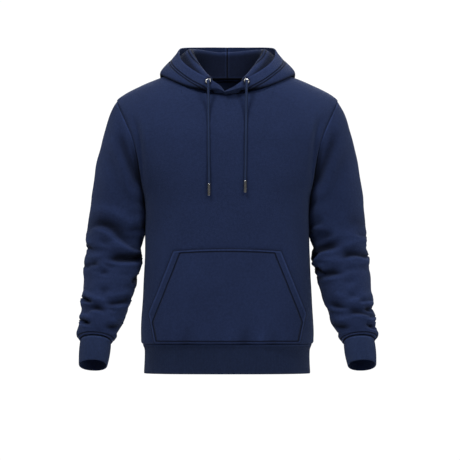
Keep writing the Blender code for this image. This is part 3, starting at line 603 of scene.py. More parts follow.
def sleeve_grid(along, around):
    """The left sleeve from the armhole down; the first and last columns meet on the underarm seam."""
    half = around // 2
    shares = steps(half)
    ahead = body_point(*armhole_places(shares, True).T, True)
    behind = body_point(*armhole_places(shares, False).T, False)
    loop = np.concatenate([ahead, behind[-2::-1]])
    start = SLEEVE_RINGS[0]
    low = np.array([start.inner_x, 0.0, start.inner_z])
    run = np.array([start.outer_x, 0.0, start.outer_z]) - low
    angle = np.arccos(1 - 2 * np.clip((loop - low) @ run / (run @ run), 0, 1))
    order = np.arange(around + 1)
    angle = np.where(order <= half, angle, 2 * np.pi - angle)
    even = 2 * np.pi * order / around
    share = steps(along, 0.3)
    ease = smooth(share / ARMHOLE_BLEND)[:, None]
    grid = ring_points(ring_at(share), mix(angle[None, :], even[None, :], ease))
    grid[0] = loop
    grid[:, -1] = grid[:, 0]
    return grid


def cuff_grid(along, around):
    even = 2 * np.pi * np.arange(around + 1) / around
    one = Ring(*(np.array([getattr(CUFF_END, name)], float) for name in Ring._fields))
    top = ring_points(ring_at(np.array([1.0])), even[None, :])[0]
    end = ring_points(one, even[None, :])[0]
    grid = blended(top[None], end[None], np.repeat(steps(along, 0.4)[:, None], around + 1, 1))
    grid[:, -1] = grid[:, 0]
    return grid


def hem_grid(along, around):
    half = around // 2
    turn = np.abs(np.linspace(-1, 1, half + 1))
    side = np.sign(np.linspace(-1, 1, half + 1))
    mirror = np.stack([side, np.ones(half + 1), np.ones(half + 1)], -1)
    ahead = body_point(turn, -np.ones(half + 1), True) * mirror
    behind = body_point(turn, -np.ones(half + 1), False) * mirror
    ring = np.concatenate([ahead, behind[-2::-1]])
    rows = []
    for z in mix(HEM_SEAM_Z, HEM_Z, steps(along, 0.5))[::-1]:
        wide = level("half_width", z) / level("half_width", HEM_SEAM_Z)
        ahead_deep = level("front", z) / level("front", HEM_SEAM_Z)
        behind_deep = level("back", z) / level("back", HEM_SEAM_Z)
        deep = np.where(ring[:, 1] < 0, ahead_deep, behind_deep)
        rows.append(np.stack([ring[:, 0] * wide, ring[:, 1] * deep, np.full(len(ring), z)], -1))
    grid = np.array(rows)
    grid[:, -1] = grid[:, 0]
    return grid


def hood_grid(along, around, lap):
    """Half of the hood on the wearer's left: columns round the neck from the front, rows from the neck seam
    over the ridge, down to the fold on the shoulder, and up to the opening's edge."""
    half = around // 2
    ahead = body_point(*neck_places(steps(half), True).T, True)
    behind = body_point(*neck_places(steps(half), False).T, False)
    seam = np.concatenate([ahead, behind[-2::-1]])
    azimuth = np.degrees(np.arctan2(np.abs(seam[:, 0]), NECK_AXIS_Y - seam[:, 1]))
    out = np.stack([seam[:, 0], seam[:, 1] - NECK_AXIS_Y], -1)
    radius = np.linalg.norm(out, axis=1)
    out = out / radius[:, None]
    marks = column(HOOD_SECTIONS, "azimuth")
    row = row_at(HOOD_SECTIONS, marks, azimuth)
    start = np.stack([radius, seam[:, 2]], -1)
    ridge = np.stack([row.ridge_out, row.ridge_z], -1)
    fold = np.stack([row.fold_out, row.fold_z], -1)
    edge = np.stack([row.edge_out, row.edge_z], -1)
    normal = np.stack([fold[:, 1] - edge[:, 1], edge[:, 0] - fold[:, 0]], -1)
    normal /= np.linalg.norm(normal, axis=1)[:, None]
    normal *= np.sign(normal[:, :1])
    belly = mix(fold, edge, 0.45) + normal * row.bulge[:, None]
    full = [
        start,
        ridge + np.array([0.002, -0.010]),
        ridge + np.array([0.001, 0.004]),
        ridge + np.array([RIDGE_WIDTH, 0.003]),
        mix(ridge, fold, 0.5) + np.array([0.004, -0.002]),
        fold + np.array([-FOLD_GAP, -0.001]),
        fold + np.array([-0.004, -0.006]),
        fold + np.array([0.002, 0.004]),
        belly,
        edge,
    ]
    turned = fold + np.array([-0.004, 0.001])
    plain = [mix(start, turned, k / 6) for k in range(7)] + [fold + np.array([0.0, 0.004]), belly, edge]
    share = smooth((azimuth - FOLD_STARTS) / (FOLD_FULL - FOLD_STARTS))[:, None]
    controls = mix(np.array(plain), np.array(full), share)
    ends = np.concatenate([controls[:1]] * 2 + [controls] + [controls[-1:]] * 2)
    along_share = steps(along, 0.25)
    place = np.minimum(along_share * (len(ends) - 3), len(ends) - 3 - 1e-9)
    i = place.astype(int)
    t = (place - i)[:, None, None]
    line = ends[i] * (1 - t) ** 3 + ends[i + 1] * (3 * t**3 - 6 * t**2 + 4)
    line = (line + ends[i + 2] * (-3 * t**3 + 3 * t**2 + 3 * t + 1) + ends[i + 3] * t**3) / 6
    rise = smooth(along_share * 2.5)[:, None]
    lift = LAP_LIFT * lap * (1 - smooth(azimuth / LAP_AZIMUTH)) * rise
    reach = line[..., 0] + lift
    x = out[:, 0] * reach - LAP * lap * (1 - smooth(azimuth / 10.0)) * rise
    return np.stack([x, NECK_AXIS_Y + out[:, 1] * reach, line[..., 1]], -1)


def grid_normals(grid, joined):
    if joined:
        wide = np.concatenate([grid[:, -2:-1], grid, grid[:, 1:2]], 1)
        across = wide[:, 2:] - wide[:, :-2]
    else:
        across = np.gradient(grid, axis=1)
    found = np.cross(across, np.gradient(grid, axis=0))
    return found / np.maximum(np.linalg.norm(found, axis=-1, keepdims=True), 1e-12)


def outward_normals(grid, joined, spot, way):
    """The grid's normals, on the side of the cloth that looks along a way at one spot."""
    normals = grid_normals(grid, joined)
    return -normals if normals[spot] @ np.asarray(way) < 0 else normals


def distances(grid, *lines):
    """How far each point of a grid is from the nearest of some lines of points."""
    nearest = np.full(grid.shape[:2], np.inf)
    for line in lines:
        lengths = lengths_along(line)
        fine = np.linspace(0, lengths[-1], int(lengths[-1] / 0.0008) + 2)
        dense = found_along(fine, lengths, line)
        tree = KDTree(len(dense))
        for k, point in enumerate(dense):
            tree.insert(point, k)
        tree.balance()
        found = np.array([tree.find(point)[2] for point in grid.reshape(-1, 3)])
        nearest = np.minimum(nearest, found.reshape(grid.shape[:2]))
    return nearest


def sunk(grid, normals, table, facing):
    """How deep the creases of a table sink each point; facing is -1 for the front and 1 for the back."""
    depth = np.zeros(grid.shape[:2])
    x, z = grid[..., 0], grid[..., 2]
    seen = smooth((normals[..., 1] * facing + 0.45) / 0.6)
    marks = np.linspace(0, 1, 25)
    for row in table:
        px = [row.x1 * MM, row.x2 * MM, row.x3 * MM]
        pz = [row.z1 * MM, row.z2 * MM, row.z3 * MM]
        reach = 3.2 * max(row.steep, row.soft) * MM
        near = (x > min(px) - reach) & (x < max(px) + reach)
        near &= (z > min(pz) - reach) & (z < max(pz) + reach)
        if not near.any():
            continue
        bend = [(1 - marks) ** 2, 2 * marks * (1 - marks), marks**2]
        lx = bend[0] * px[0] + bend[1] * (2 * px[1] - (px[0] + px[2]) / 2) + bend[2] * px[2]
        lz = bend[0] * pz[0] + bend[1] * (2 * pz[1] - (pz[0] + pz[2]) / 2) + bend[2] * pz[2]
        dx, dz = np.diff(lx), np.diff(lz)
        ax, az = x[near][:, None] - lx[:-1], z[near][:, None] - lz[:-1]
        along = np.clip((ax * dx + az * dz) / (dx * dx + dz * dz), 0, 1)
        gap = np.hypot(ax - along * dx, az - along * dz)
        best = gap.argmin(1)
        pick = np.arange(len(best))
        right = dx[best] * az[pick, best] - dz[best] * ax[pick, best] < 0
        t = (best + along[pick, best]) / (len(marks) - 1)
        first = mix(row.deep1, row.deep2, smooth(2 * t))
        deep = np.where(t < 0.5, first, mix(row.deep2, row.deep3, smooth(2 * t - 1)))
        share = gap[pick, best] / (np.where(right, row.steep, row.soft) * MM)
        roll = 0.22 * np.exp(-((share - 2.0) ** 2) * 1.6)
        depth[near] += deep * MM * (bell(share, 1.0) - roll)
    return depth * seen


def painted_crease_shade(depth):
    """Painted shade in the creases and painted highlights on the rolls beside them: dark where the cloth
    sinks, light on the rolls.
    """
    return 1 - 0.80 * smooth(depth / 0.0062) + 0.30 * smooth(-depth / 0.0013)


def painted_arm_shadow(grid, width, share):
    """Painted shadow where the body and a sleeve lie against each other."""
    x, z = np.abs(grid[..., 0]), grid[..., 2]
    low = level("half_width", z)
    border = np.where(z > ARMHOLE_LINE[0].z, looked_up(ARMHOLE_LINE, "z", "x", z), low)
    near = 1 - smooth(np.abs(x - border) / width)
    return 1 - share * near * smooth((-0.150 - z) / 0.06) * smooth((z + 0.415) / 0.03)


def slack(grid, scale, seed):
    """Slow uneven waves of hanging cloth."""
    x, y, z = (grid[..., k] for k in range(3))
    waves = (
        np.sin(31 * x + 9 * z + seed) * np.sin(17 * z - 6 * y + 2.1 * seed)
        + 0.6 * np.sin(58 * x - 21 * z + 3.3 * seed) * np.sin(43 * z + 11 * y + seed)
        + 0.35 * np.sin(97 * x + 60 * z + 1.7 * seed)
    )
    return waves * scale


# Making meshes


def placed(name, data, node=None):
    """A mesh put in the scene as a piece that rides the garment, in place of a CAD node if one is named."""
    piece = bpy.data.objects.new(name, data)
    bpy.context.scene.collection.objects.link(piece)
    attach(piece, "root")
    if node:
        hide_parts(node)
    return piece


def cloth_piece(name, kind, node, grid, normals, joined=False, way=None, **values):
    """A sheet of cloth over a grid of points, with its length and breadth as its UV map, given its wall.
    The values say how far each point is from the stitching and the edges, and give the painted light and
    shade on it. The sheet
    is turned by its middle face: to look along a way, or else as the normals do."""
    cloth = CLOTHS[kind]
    thickness = getattr(bpy.context.scene.hoodie_sizes, cloth.size)
    rows, columns = grid.shape[0] - 1, grid.shape[1] - 1
    made = bmesh.new()
    made.loops.layers.uv.new("cloth")
    bmesh.ops.create_grid(made, x_segments=columns, y_segments=rows, size=0.5)
    data = bpy.data.meshes.new(name)
    made.to_mesh(data)
    made.free()
    flat = np.empty(len(data.vertices) * 3)
    data.vertices.foreach_get("co", flat)
    c = np.rint((flat[0::3] + 0.5) * columns).astype(int)
    r = np.rint((flat[1::3] + 0.5) * rows).astype(int)
    data.vertices.foreach_set("co", grid[r, c].ravel())
    across = lengths_along(grid.transpose(1, 0, 2)).T
    across = across - across[:, columns // 2][:, None]
    along = lengths_along(grid)
    corner = np.empty(len(data.loops), int)
    data.loops.foreach_get("vertex_index", corner)
    uv = np.stack([across[r, c][corner], along[r, c][corner]], -1)
    data.uv_layers["cloth"].data.foreach_set("uv", uv.ravel())
    # Per-point values for the finish: stitching, edges, and the painted light and shade
    for label in ("stitch", "edge", "shade"):
        layer = data.attributes.new(label, "FLOAT", "POINT")
        layer.data.foreach_set("value", values[label][r, c] if label in values else np.ones(len(c)))
    data.update()
    if joined:
        made = bmesh.new()
        made.from_mesh(data)
        bmesh.ops.remove_doubles(made, verts=made.verts[:], dist=1e-6)
        made.to_mesh(data)
        made.free()
    middle = data.polygons[len(data.polygons) // 2]
    nearest = np.linalg.norm(grid - np.array(middle.center), axis=-1).argmin()
    way = normals.reshape(-1, 3)[nearest] if way is None else np.array(way)
    if way @ np.array(middle.normal) < 0:
        data.flip_normals()
    data.shade_smooth()
    data.materials.append(finish(cloth.outside))
    data.materials.append(finish(cloth.inside))
    piece = placed(name, data, node)
    wall = piece.modifiers.new("wall", "SOLIDIFY")
    wall.thickness = thickness
    wall.offset = -1.0
    wall.material_offset = 1
    wall.material_offset_rim = 0
    rim = piece.modifiers.new("rim", "BEVEL")
    rim.limit_method = "ANGLE"
    rim.angle_limit = math.radians(55)
    rim.width = thickness * 0.38
    rim.segments = 2
    return piece


def line_beside(grid, normals, side, distance, first=0.0, last=1.0):
    """Points and normals at a distance into the grid from one of its sides, over a share of that side."""

    def from_side(values):
        if side in ("top", "bottom"):
            values = values.transpose(1, 0, 2)
        return values[:, ::-1] if side in ("top", "right") else values

    lines, facing = from_side(grid), from_side(normals)
    count = len(lines)
    border = lines[:, 0]
    tangent = np.gradient(border, axis=0)
    tangent /= np.maximum(np.linalg.norm(tangent, axis=1), 1e-9)[:, None]
    points, outward = [], []
    for k in range(int(first * (count - 1)), int(last * (count - 1)) + 1):
        away = lines[k] - border[k]
        apart = np.linalg.norm(away - (away @ tangent[k])[:, None] * tangent[k], axis=1)
        stop = int(np.argmax(apart > distance * 1.5)) or len(apart) - 1
        span = apart[: stop + 1]
        points.append(found_along(distance, span, lines[k][: stop + 1]))
        outward.append(found_along(distance, span, facing[k][: stop + 1]))
    return np.array(points), np.array(outward)


def sewn(name, lines):
    """Rows of stitches along lines of points with their normals, each stitch a short thread."""
    sizes = bpy.context.scene.hoodie_sizes
    total = bpy.data.meshes.new(name)
    joined = bmesh.new()
    for points, outward in lines:
        lengths = lengths_along(points)
        count = int(lengths[-1] / sizes.stitch)
        at = (np.arange(count) + 0.5) * sizes.stitch
        middle = found_along(at, lengths, points)
        run = found_along(at + MM, lengths, points) - found_along(at - MM, lengths, points)
        facing = found_along(at, lengths, outward)
        row = bmesh.new()
        for k in range(count):
            along = Vector(run[k]).normalized()
            up = Vector(facing[k])
            up = (up - along * up.dot(along)).normalized()
            side = up.cross(along)
            turn = Matrix((along, side, up)).transposed().to_4x4()
            size = Matrix.Diagonal((sizes.stitch * 0.42, sizes.thread, sizes.thread, 1.0))
            spot = Matrix.Translation(Vector(middle[k]) - up * STITCH_SINK) @ turn @ size
            bmesh.ops.create_uvsphere(row, u_segments=6, v_segments=3, radius=1.0, matrix=spot)
        row.to_mesh(total)
        row.free()
        joined.from_mesh(total)
    joined.to_mesh(total)
    joined.free()
    total.shade_smooth()
    total.materials.append(finish("navy thread"))
    return placed(name, total)


# Finishes


class Nodes:
    """A material's shader nodes, added one at a time and linked as they come."""

    def __init__(self, name):
        self.material = bpy.data.materials.new(name)
        self.material.use_nodes = True
        self.tree = self.material.node_tree
        self.shader = self.tree.nodes["Principled BSDF"]

    def fill(self, socket, value):
        if isinstance(value, bpy.types.NodeSocket):
            self.tree.links.new(value, socket)
        else:
            socket.default_value = value

    def add(self, kind, settings=(), **links):
        node = self.tree.nodes.new(kind)
        for key, value in dict(settings).items():
            setattr(node, key, value)
        for key, value in links.items():
            numbered = key[0] == "i" and key[1:].isdigit()
            self.fill(node.inputs[int(key[1:]) if numbered else key], value)
        return node

    def maths(self, operation, a, b=0.0):
        return self.add("ShaderNodeMath", {"operation": operation}, i0=a, i1=b).outputs[0]

    def product(self, a, b):
        return self.maths("MULTIPLY", a, b)

    def total(self, a, b):
        return self.maths("ADD", a, b)

    def place(self):
        return self.add("ShaderNodeTexCoord").outputs["Object"]

    def cloth(self):
        """The distances across and along the cloth."""
        flat = self.add("ShaderNodeUVMap", {"uv_map": "cloth"}).outputs["UV"]
        split = self.add("ShaderNodeSeparateXYZ", Vector=flat)
        return split.outputs["X"], split.outputs["Y"]

    def value(self, name):
        return self.add("ShaderNodeAttribute", {"attribute_name": name}).outputs["Fac"]

    def noise(self, where, scale, detail=2.0, rough=0.5):
        node = self.add("ShaderNodeTexNoise", Vector=where, Scale=scale, Detail=detail, Roughness=rough)
        return node.outputs["Fac"]

    def ramp(self, value, low, high, to_low=0.0, to_high=1.0):
        settings = {"interpolation_type": "SMOOTHSTEP"}
        ends = {"i1": low, "i2": high, "i3": to_low, "i4": to_high}
        return self.add("ShaderNodeMapRange", settings, i0=value, **ends).outputs[0]

    def bump(self, height, distance, normal=None):
        node = self.add("ShaderNodeBump", Height=height, Distance=distance, Strength=1.0)
        if normal is not None:
            self.fill(node.inputs["Normal"], normal)
        return node.outputs["Normal"]

    def tint(self, colour, factor):
        """The colour made lighter or darker by a factor."""
        node = self.add("ShaderNodeVectorMath", {"operation": "SCALE"}, i0=colour, Scale=factor)
        return node.outputs[0]

    def finish(self, colour, normal, roughness, sheen=0.0, tint=(1, 1, 1), metallic=0.0, specular=0.5):
        sockets = {
            "Base Color": colour,
            "Normal": normal,
            "Roughness": roughness,
            "Metallic": metallic,
            "Specular IOR Level": specular,
            "Sheen Weight": sheen,
            "Sheen Roughness": 0.45,
            "Sheen Tint": (*tint, 1.0),
        }
        for name, value in sockets.items():
            self.fill(self.shader.inputs[name], value)
        return self.material


def cloth_finish(name, colour, rows_apart=0.0, rib_pitch=0.0, brushed=False):
    """Knitted cloth: fine wales and courses along its UV map, mottled yarn, nap and stitched lines, with
    painted shade in the stitched rows, rib troughs and seams, painted highlights beside the seams, and
    painted light and shade from its points.
    rows_apart is between the two rows of a stitched line, and rib_pitch between the ribs of a rib knit."""
    wale, course = 0.0012, 0.0016
    nodes = Nodes(name)
    place = nodes.place()
    across, along = nodes.cloth()
    broad = nodes.noise(place, 7.0, 2.0)
    mottle = nodes.noise(place, 210.0, 3.0, 0.62)
    fuzz = nodes.noise(place, 1500.0, 2.0, 0.7)
    speckle = nodes.ramp(mottle, 0.25, 0.75, -0.13, 0.13)
    factor = nodes.total(nodes.ramp(broad, 0.3, 0.7, 0.94, 1.06), speckle)
    factor = nodes.total(factor, nodes.ramp(fuzz, 0.2, 0.8, -0.10, 0.10))
    if brushed:
        loops = nodes.noise(place, 420.0, 4.0, 0.75)
        normal = nodes.bump(nodes.total(loops, nodes.product(fuzz, 0.5)), 0.0014)
    else:
        wales = nodes.product(across, 2 * math.pi / wale)
        courses = nodes.maths("SINE", nodes.product(along, 2 * math.pi / course))
        loops = nodes.maths("SINE", nodes.total(wales, nodes.product(courses, 1.1)))
        height = nodes.total(nodes.product(loops, 0.30), nodes.product(fuzz, 1.3))
        normal = nodes.bump(nodes.total(height, nodes.product(mottle, 0.9)), 0.00035)
    if rib_pitch:
        wave = nodes.maths("COSINE", nodes.product(across, 2 * math.pi / rib_pitch))
        # Painted shade in the troughs between the ribs
        factor = nodes.product(factor, nodes.ramp(wave, -0.8, 0.2, 0.88, 1.0))
        normal = nodes.bump(nodes.ramp(wave, -0.7, 0.7), 0.0004, normal)
    if not brushed:
        away = nodes.maths("ABSOLUTE", nodes.value("stitch"))
        if rows_apart:
            away = nodes.maths("ABSOLUTE", nodes.maths("SUBTRACT", away, rows_apart / 2))
        edge = nodes.value("edge")
        # Painted shade in the grooves of the stitched rows and painted shadow along the seams and edges
        factor = nodes.product(factor, nodes.ramp(away, 0.0007, 0.0027, 0.26, 1.0))
        factor = nodes.product(factor, nodes.ramp(edge, 0.0006, 0.0026, 0.22, 1.0))
        # Painted highlight on the strip of cloth beside each seam and edge
        seam_highlight = nodes.maths("SUBTRACT", nodes.ramp(edge, 0.0012, 0.0030), nodes.ramp(edge, 0.0046, 0.0066))
        factor = nodes.product(factor, nodes.ramp(seam_highlight, 0.0, 1.0, 1.0, 1.50))
        # The painted light and shade laid on the cloth's points
        factor = nodes.product(factor, nodes.value("shade"))
        groove = nodes.product(nodes.ramp(away, 0.0, 0.0024), nodes.ramp(edge, 0.0, 0.0030))
        normal = nodes.bump(groove, 0.0013, normal)
    sheen = 0.10 if brushed else 0.06
    return nodes.finish(nodes.tint(colour, factor), normal, 0.95, sheen, (0.45, 0.60, 1.0), specular=0.12)


def cord_finish(name, colour):
    """Braid: two sets of strands that wind round the cord opposite ways, with painted shade on its flanks."""
    strand, turn, radius = 0.00259, 0.0042, 0.0033
    nodes = Nodes(name)
    across, along = nodes.cloth()
    round_it = nodes.product(across, 2 * math.pi / strand)
    down_it = nodes.product(along, 2 * math.pi / turn)
    one = nodes.maths("SINE", nodes.total(round_it, down_it))
    two = nodes.maths("SINE", nodes.maths("SUBTRACT", round_it, down_it))
    braid = nodes.maths("MAXIMUM", one, two)
    fuzz = nodes.noise(nodes.place(), 1800.0, 2.0, 0.6)
    factor = nodes.total(nodes.ramp(braid, -0.4, 1.0, 0.65, 1.15), nodes.ramp(fuzz, 0.2, 0.8, -0.08, 0.08))
    # Painted shade on the cord's flanks
    flank = nodes.maths("ABSOLUTE", nodes.maths("COSINE", nodes.maths("DIVIDE", across, radius)))
    colour = nodes.tint(colour, nodes.product(factor, nodes.ramp(flank, 0.55, 0.95, 1.0, 0.30)))
    normal = nodes.bump(nodes.total(braid, nodes.product(fuzz, 0.5)), 0.0005)
    return nodes.finish(colour, normal, 0.8, 0.03, (0.5, 0.65, 1.0), specular=0.15)


def thread_finish(name, colour):
    nodes = Nodes(name)
    twist = nodes.noise(nodes.place(), 2600.0, 2.0, 0.6)
    colour = nodes.tint(colour, nodes.ramp(twist, 0.25, 0.75, 0.85, 1.15))
    return nodes.finish(colour, nodes.bump(twist, 0.0002), 0.7, 0.1, (0.5, 0.65, 1.0), specular=0.25)


def metal_finish(name, colour):
    nodes = Nodes(name)
    place = nodes.place()
    drawn = nodes.add("ShaderNodeMapping", Vector=place, Scale=(1.0, 1.0, 5.0)).outputs[0]
    turned = nodes.noise(drawn, 700.0, 3.0)
    cloud = nodes.noise(place, 120.0, 3.0)
    factor = nodes.total(nodes.ramp(turned, 0.3, 0.7, 0.94, 1.0), nodes.ramp(cloud, 0.3, 0.7, -0.04, 0.04))
    roughness = nodes.ramp(cloud, 0.3, 0.7, 0.16, 0.30)
    return nodes.finish(nodes.tint(colour, factor), nodes.bump(turned, 0.00004), roughness, metallic=1.0)


def floor_finish(name, colour):
    nodes = Nodes(name)
    grain = nodes.noise(nodes.place(), 60.0, 3.0)
    colour = nodes.tint(colour, nodes.ramp(grain, 0.2, 0.8, 0.99, 1.01))
    return nodes.finish(colour, nodes.bump(grain, 0.0002), 0.8)


def finish(name):
    """A finish by its name, made once."""
    if name in bpy.data.materials:
        return bpy.data.materials[name]
    colours, sizes = bpy.context.scene.hoodie_colours, bpy.context.scene.hoodie_sizes
    makers = {
        "brushed navy fleece": lambda n: cloth_finish(n, colours.fleece),
        "navy fleece, twin stitched": lambda n: cloth_finish(n, colours.fleece, TWIN_ROWS),
        "navy rib knit": lambda n: cloth_finish(n, colours.rib, 0.0, sizes.rib_pitch),
        "napped inside": lambda n: cloth_finish(n, colours.fleece, brushed=True),
        "braided navy cord": lambda n: cord_finish(n, colours.cord),
        "navy thread": lambda n: thread_finish(n, colours.thread),
        "polished nickel": lambda n: metal_finish(n, colours.metal),
        "pale floor": lambda n: floor_finish(n, colours.floor),
    }
    return makers[name](name)


# Operators


class HOODIE_OT_stage(bpy.types.Operator):
    """Sets the floor, the lights and the camera"""

    bl_idname = "hoodie.stage"
    bl_label = "Stage, lights and camera"

    def execute(self, context):
        scene = context.scene
        low, high = CAD_BOX
        middle_z = (low[2] + high[2]) / 2
        mesh = bmesh.new()
        bmesh.ops.create_circle(mesh, cap_ends=True, segments=96, radius=2.6)
        data = bpy.data.meshes.new("floor")
        mesh.to_mesh(data)
        mesh.free()
        data.transform(Matrix.Translation((0.0, 0.0, low[2] - 0.95)))
        data.materials.append(finish("pale floor"))
        floor = bpy.data.objects.new("floor", data)
        scene.collection.objects.link(floor)

        world = bpy.data.worlds.new("studio")
        world.use_nodes = True
        tree = world.node_tree
        back = tree.nodes["Background"]
        back.inputs["Color"].default_value = (1.0, 1.0, 1.0, 1.0)
        path = tree.nodes.new("ShaderNodeLightPath")
        seen = tree.nodes.new("ShaderNodeMapRange")
        seen.inputs["To Min"].default_value = 0.20
        seen.inputs["To Max"].default_value = 1.05
        tree.links.new(path.outputs["Is Camera Ray"], seen.inputs["Value"])
        tree.links.new(seen.outputs[0], back.inputs["Strength"])
        scene.world = world
        scene.view_settings.view_transform = "Standard"

        Lamp = namedtuple("Lamp", "name place target size power")
        lamps = (
            Lamp("key", (-1.3, -2.0, 2.5), (0.0, 0.0, -0.15), 0.8, 64.0),
            Lamp("fill", (1.6, -2.2, 1.9), (0.0, 0.0, -0.20), 1.0, 46.0),
            Lamp("top", (0.0, -0.6, 2.4), (0.0, 0.0, -0.2), 1.2, 14.0),
            Lamp("rim_left", (-2.2, 0.9, 0.2), (0.0, 0.0, -0.35), 1.0, 9.0),
            Lamp("rim_right", (2.2, 0.9, 0.2), (0.0, 0.0, -0.35), 1.0, 12.0),
            Lamp("back", (0.3, 2.8, 1.4), (0.0, 0.0, -0.30), 1.6, 80.0),
        )
        for lamp in lamps:
            light = bpy.data.lights.new(lamp.name, "AREA")
            light.size = lamp.size
            light.energy = lamp.power
            made = bpy.data.objects.new(lamp.name, light)
            made.location = lamp.place
            aim = Vector(lamp.target) - Vector(lamp.place)
            made.rotation_euler = aim.to_track_quat("-Z", "Y").to_euler()
            scene.collection.objects.link(made)

        away, view_width = 14.0, 1.058
        camera = bpy.data.cameras.new("camera")
        camera.lens = camera.sensor_width * away / view_width
        camera.clip_end = 60.0
        eye = bpy.data.objects.new("camera", camera)
        eye.location = (0.0062, -away, middle_z - 0.0470)
        eye.rotation_euler = (math.pi / 2, 0.0, 0.0)
        scene.collection.objects.link(eye)
        scene.camera = eye
        return {"FINISHED"}


def cord_line(trim, step):
    drops = CORD_DROPS + (Drop(CORD_END_Y, trim.end_z),)
    z = np.array([drop.z for drop in drops])
    share = np.maximum((z - trim.eyelet_z) / (trim.end_z - trim.eyelet_z), 0.0)
    route = np.stack([mix(trim.top_x, trim.end_x, share), [drop.y for drop in drops], z], -1)
    lengths = lengths_along(route)
    at = np.linspace(0, lengths[-1], round(lengths[-1] / step) + 1)
    return np.stack([through(lengths, route[:, k], at) for k in range(3)], -1)


def drawcord(trim):
    radius = bpy.context.scene.hoodie_sizes.cord / 2
    line = cord_line(trim, CORD_STEP)
    forward = np.gradient(line, axis=0)
    forward /= np.linalg.norm(forward, axis=1)[:, None]
    side = np.array([1.0, 0.0, 0.0]) - forward[:, :1] * forward
    side /= np.linalg.norm(side, axis=1)[:, None]
    up = np.cross(side, forward)
    angle = 2 * np.pi * np.arange(CORD_AROUND + 1) / CORD_AROUND
    reach = radius * (1 - 0.03 * (1 + np.cos(np.arange(len(line)) * 2.2)))[:, None, None]
    turn = np.cos(angle)[None, :, None] * side[:, None] + np.sin(angle)[None, :, None] * up[:, None]
    grid = line[:, None] + turn * reach
    grid[:, -1] = grid[:, 0]
    name, rows = "cord_" + trim.side, len(line) - 1
    mesh = bmesh.new()
    mesh.loops.layers.uv.new("cloth")
    bmesh.ops.create_grid(mesh, x_segments=CORD_AROUND, y_segments=rows, size=0.5)
    layer = mesh.loops.layers.uv["cloth"]
    spots = {v: (round((v.co.x + 0.5) * CORD_AROUND), round((v.co.y + 0.5) * rows)) for v in mesh.verts}
    for face in mesh.faces:
        for loop in face.loops:
            c, r = spots[loop.vert]
            loop[layer].uv = (c / CORD_AROUND * 2 * math.pi * radius, r * CORD_STEP)
    for v, (c, r) in spots.items():
        v.co = grid[r, c]
    bmesh.ops.remove_doubles(mesh, verts=mesh.verts[:], dist=1e-6)
    bmesh.ops.holes_fill(mesh, edges=[e for e in mesh.edges if e.is_boundary], sides=0)
    bmesh.ops.recalc_face_normals(mesh, faces=mesh.faces[:])
    data = bpy.data.meshes.new(name)
    mesh.to_mesh(data)
    mesh.free()
    data.shade_smooth()
    data.materials.append(finish("braided navy cord"))
    piece = placed(name, data, "drawcord_" + trim.side)


class HOODIE_OT_drawcords(bpy.types.Operator):
    """Makes the two hanging ends of the braided drawcord"""

    bl_idname = "hoodie.drawcords"
    bl_label = "Drawcord ends"

    def execute(self, context):
        for trim in TRIMS:
            drawcord(trim)
        return {"FINISHED"}


def body_panel(front):
    sizes = bpy.context.scene.hoodie_sizes
    name, way, facing = ("front", AHEAD, -1) if front else ("back", BEHIND, 1)
    grid = body_grid(front)
    middle = grid.shape[1] // 2
    low, high = middle - NECK_COLUMNS, middle + NECK_COLUMNS
    spot = (60, middle)
    normals = outward_normals(grid, False, spot, way)
    to_hem = distances(grid, grid[0])
    to_neck = distances(grid, grid[-1, low : high + 1])
    to_armhole = distances(grid, grid[SIDE_ROWS:, 0], grid[SIDE_ROWS:, -1])
    to_shoulder = distances(grid, grid[-1, : low + 1], grid[-1, high:])
    to_side = distances(grid, grid[: SIDE_ROWS + 1, 0], grid[: SIDE_ROWS + 1, -1])
    edge = np.minimum.reduce([to_hem, to_neck, to_armhole, to_shoulder, to_side])
    stitch = np.minimum.reduce([to_hem - HEM_STITCH, to_neck - NECK_STITCH, to_armhole - ARMHOLE_STITCH])
    depth = sunk(grid, normals, FRONT_CREASES if front else BACK_CREASES, facing)
    # Painted shade in the creases, painted highlights on their rolls, and painted shadow where the sleeves
    # lie against the body
    shade = painted_crease_shade(depth * 1.5) * painted_arm_shadow(grid, 0.006, 0.85)
    if front:
        flat = pocket_grid(30)[0]
        outline = np.concatenate([flat[:, 0], flat[-1], flat[::-1, -1]])
        # Painted shadow round the pocket's outline
        shade *= 1 - 0.45 * bell(distances(grid, outline), 0.0042)
        # Painted shade on the lower part of the wearer's right side
        shade *= 1 - 0.13 * smooth((-0.135 - grid[..., 0]) / 0.04) * smooth((-0.22 - grid[..., 2]) / 0.1)
    depth = depth * sizes.creasing + slack(grid, 0.0007, 1.3 if front else 4.1)
    depth *= smooth(edge / 0.010)
    depth += 0.0011 * bell(edge, SEAM_ROLL)
    depth -= 0.0010 * bell(to_hem - 0.0038, 0.0026)
    grid = grid - normals * depth[..., None]
    values = {"stitch": stitch, "edge": edge, "shade": shade}
    piece = cloth_piece(name + "_cloth", "fleece", name + "_panel", grid, normals, way=way, **values)
    normals = outward_normals(grid, False, spot, way)
    half = grid.shape[1] - 1
    armpit = SIDE_ROWS / (grid.shape[0] - 1)
    rows = [
        line_beside(grid, normals, "bottom", HEM_STITCH),
        line_beside(grid, normals, "top", NECK_STITCH, low / half, high / half),
        line_beside(grid, normals, "left", ARMHOLE_STITCH, armpit),
        line_beside(grid, normals, "right", ARMHOLE_STITCH, armpit),
    ]
    sewn(name + "_stitching", rows)


class HOODIE_OT_body(bpy.types.Operator):
    """Makes the front and back of the body"""

    bl_idname = "hoodie.body"
    bl_label = "Front and back"

    def execute(self, context):
        body_panel(True)
        body_panel(False)
        return {"FINISHED"}


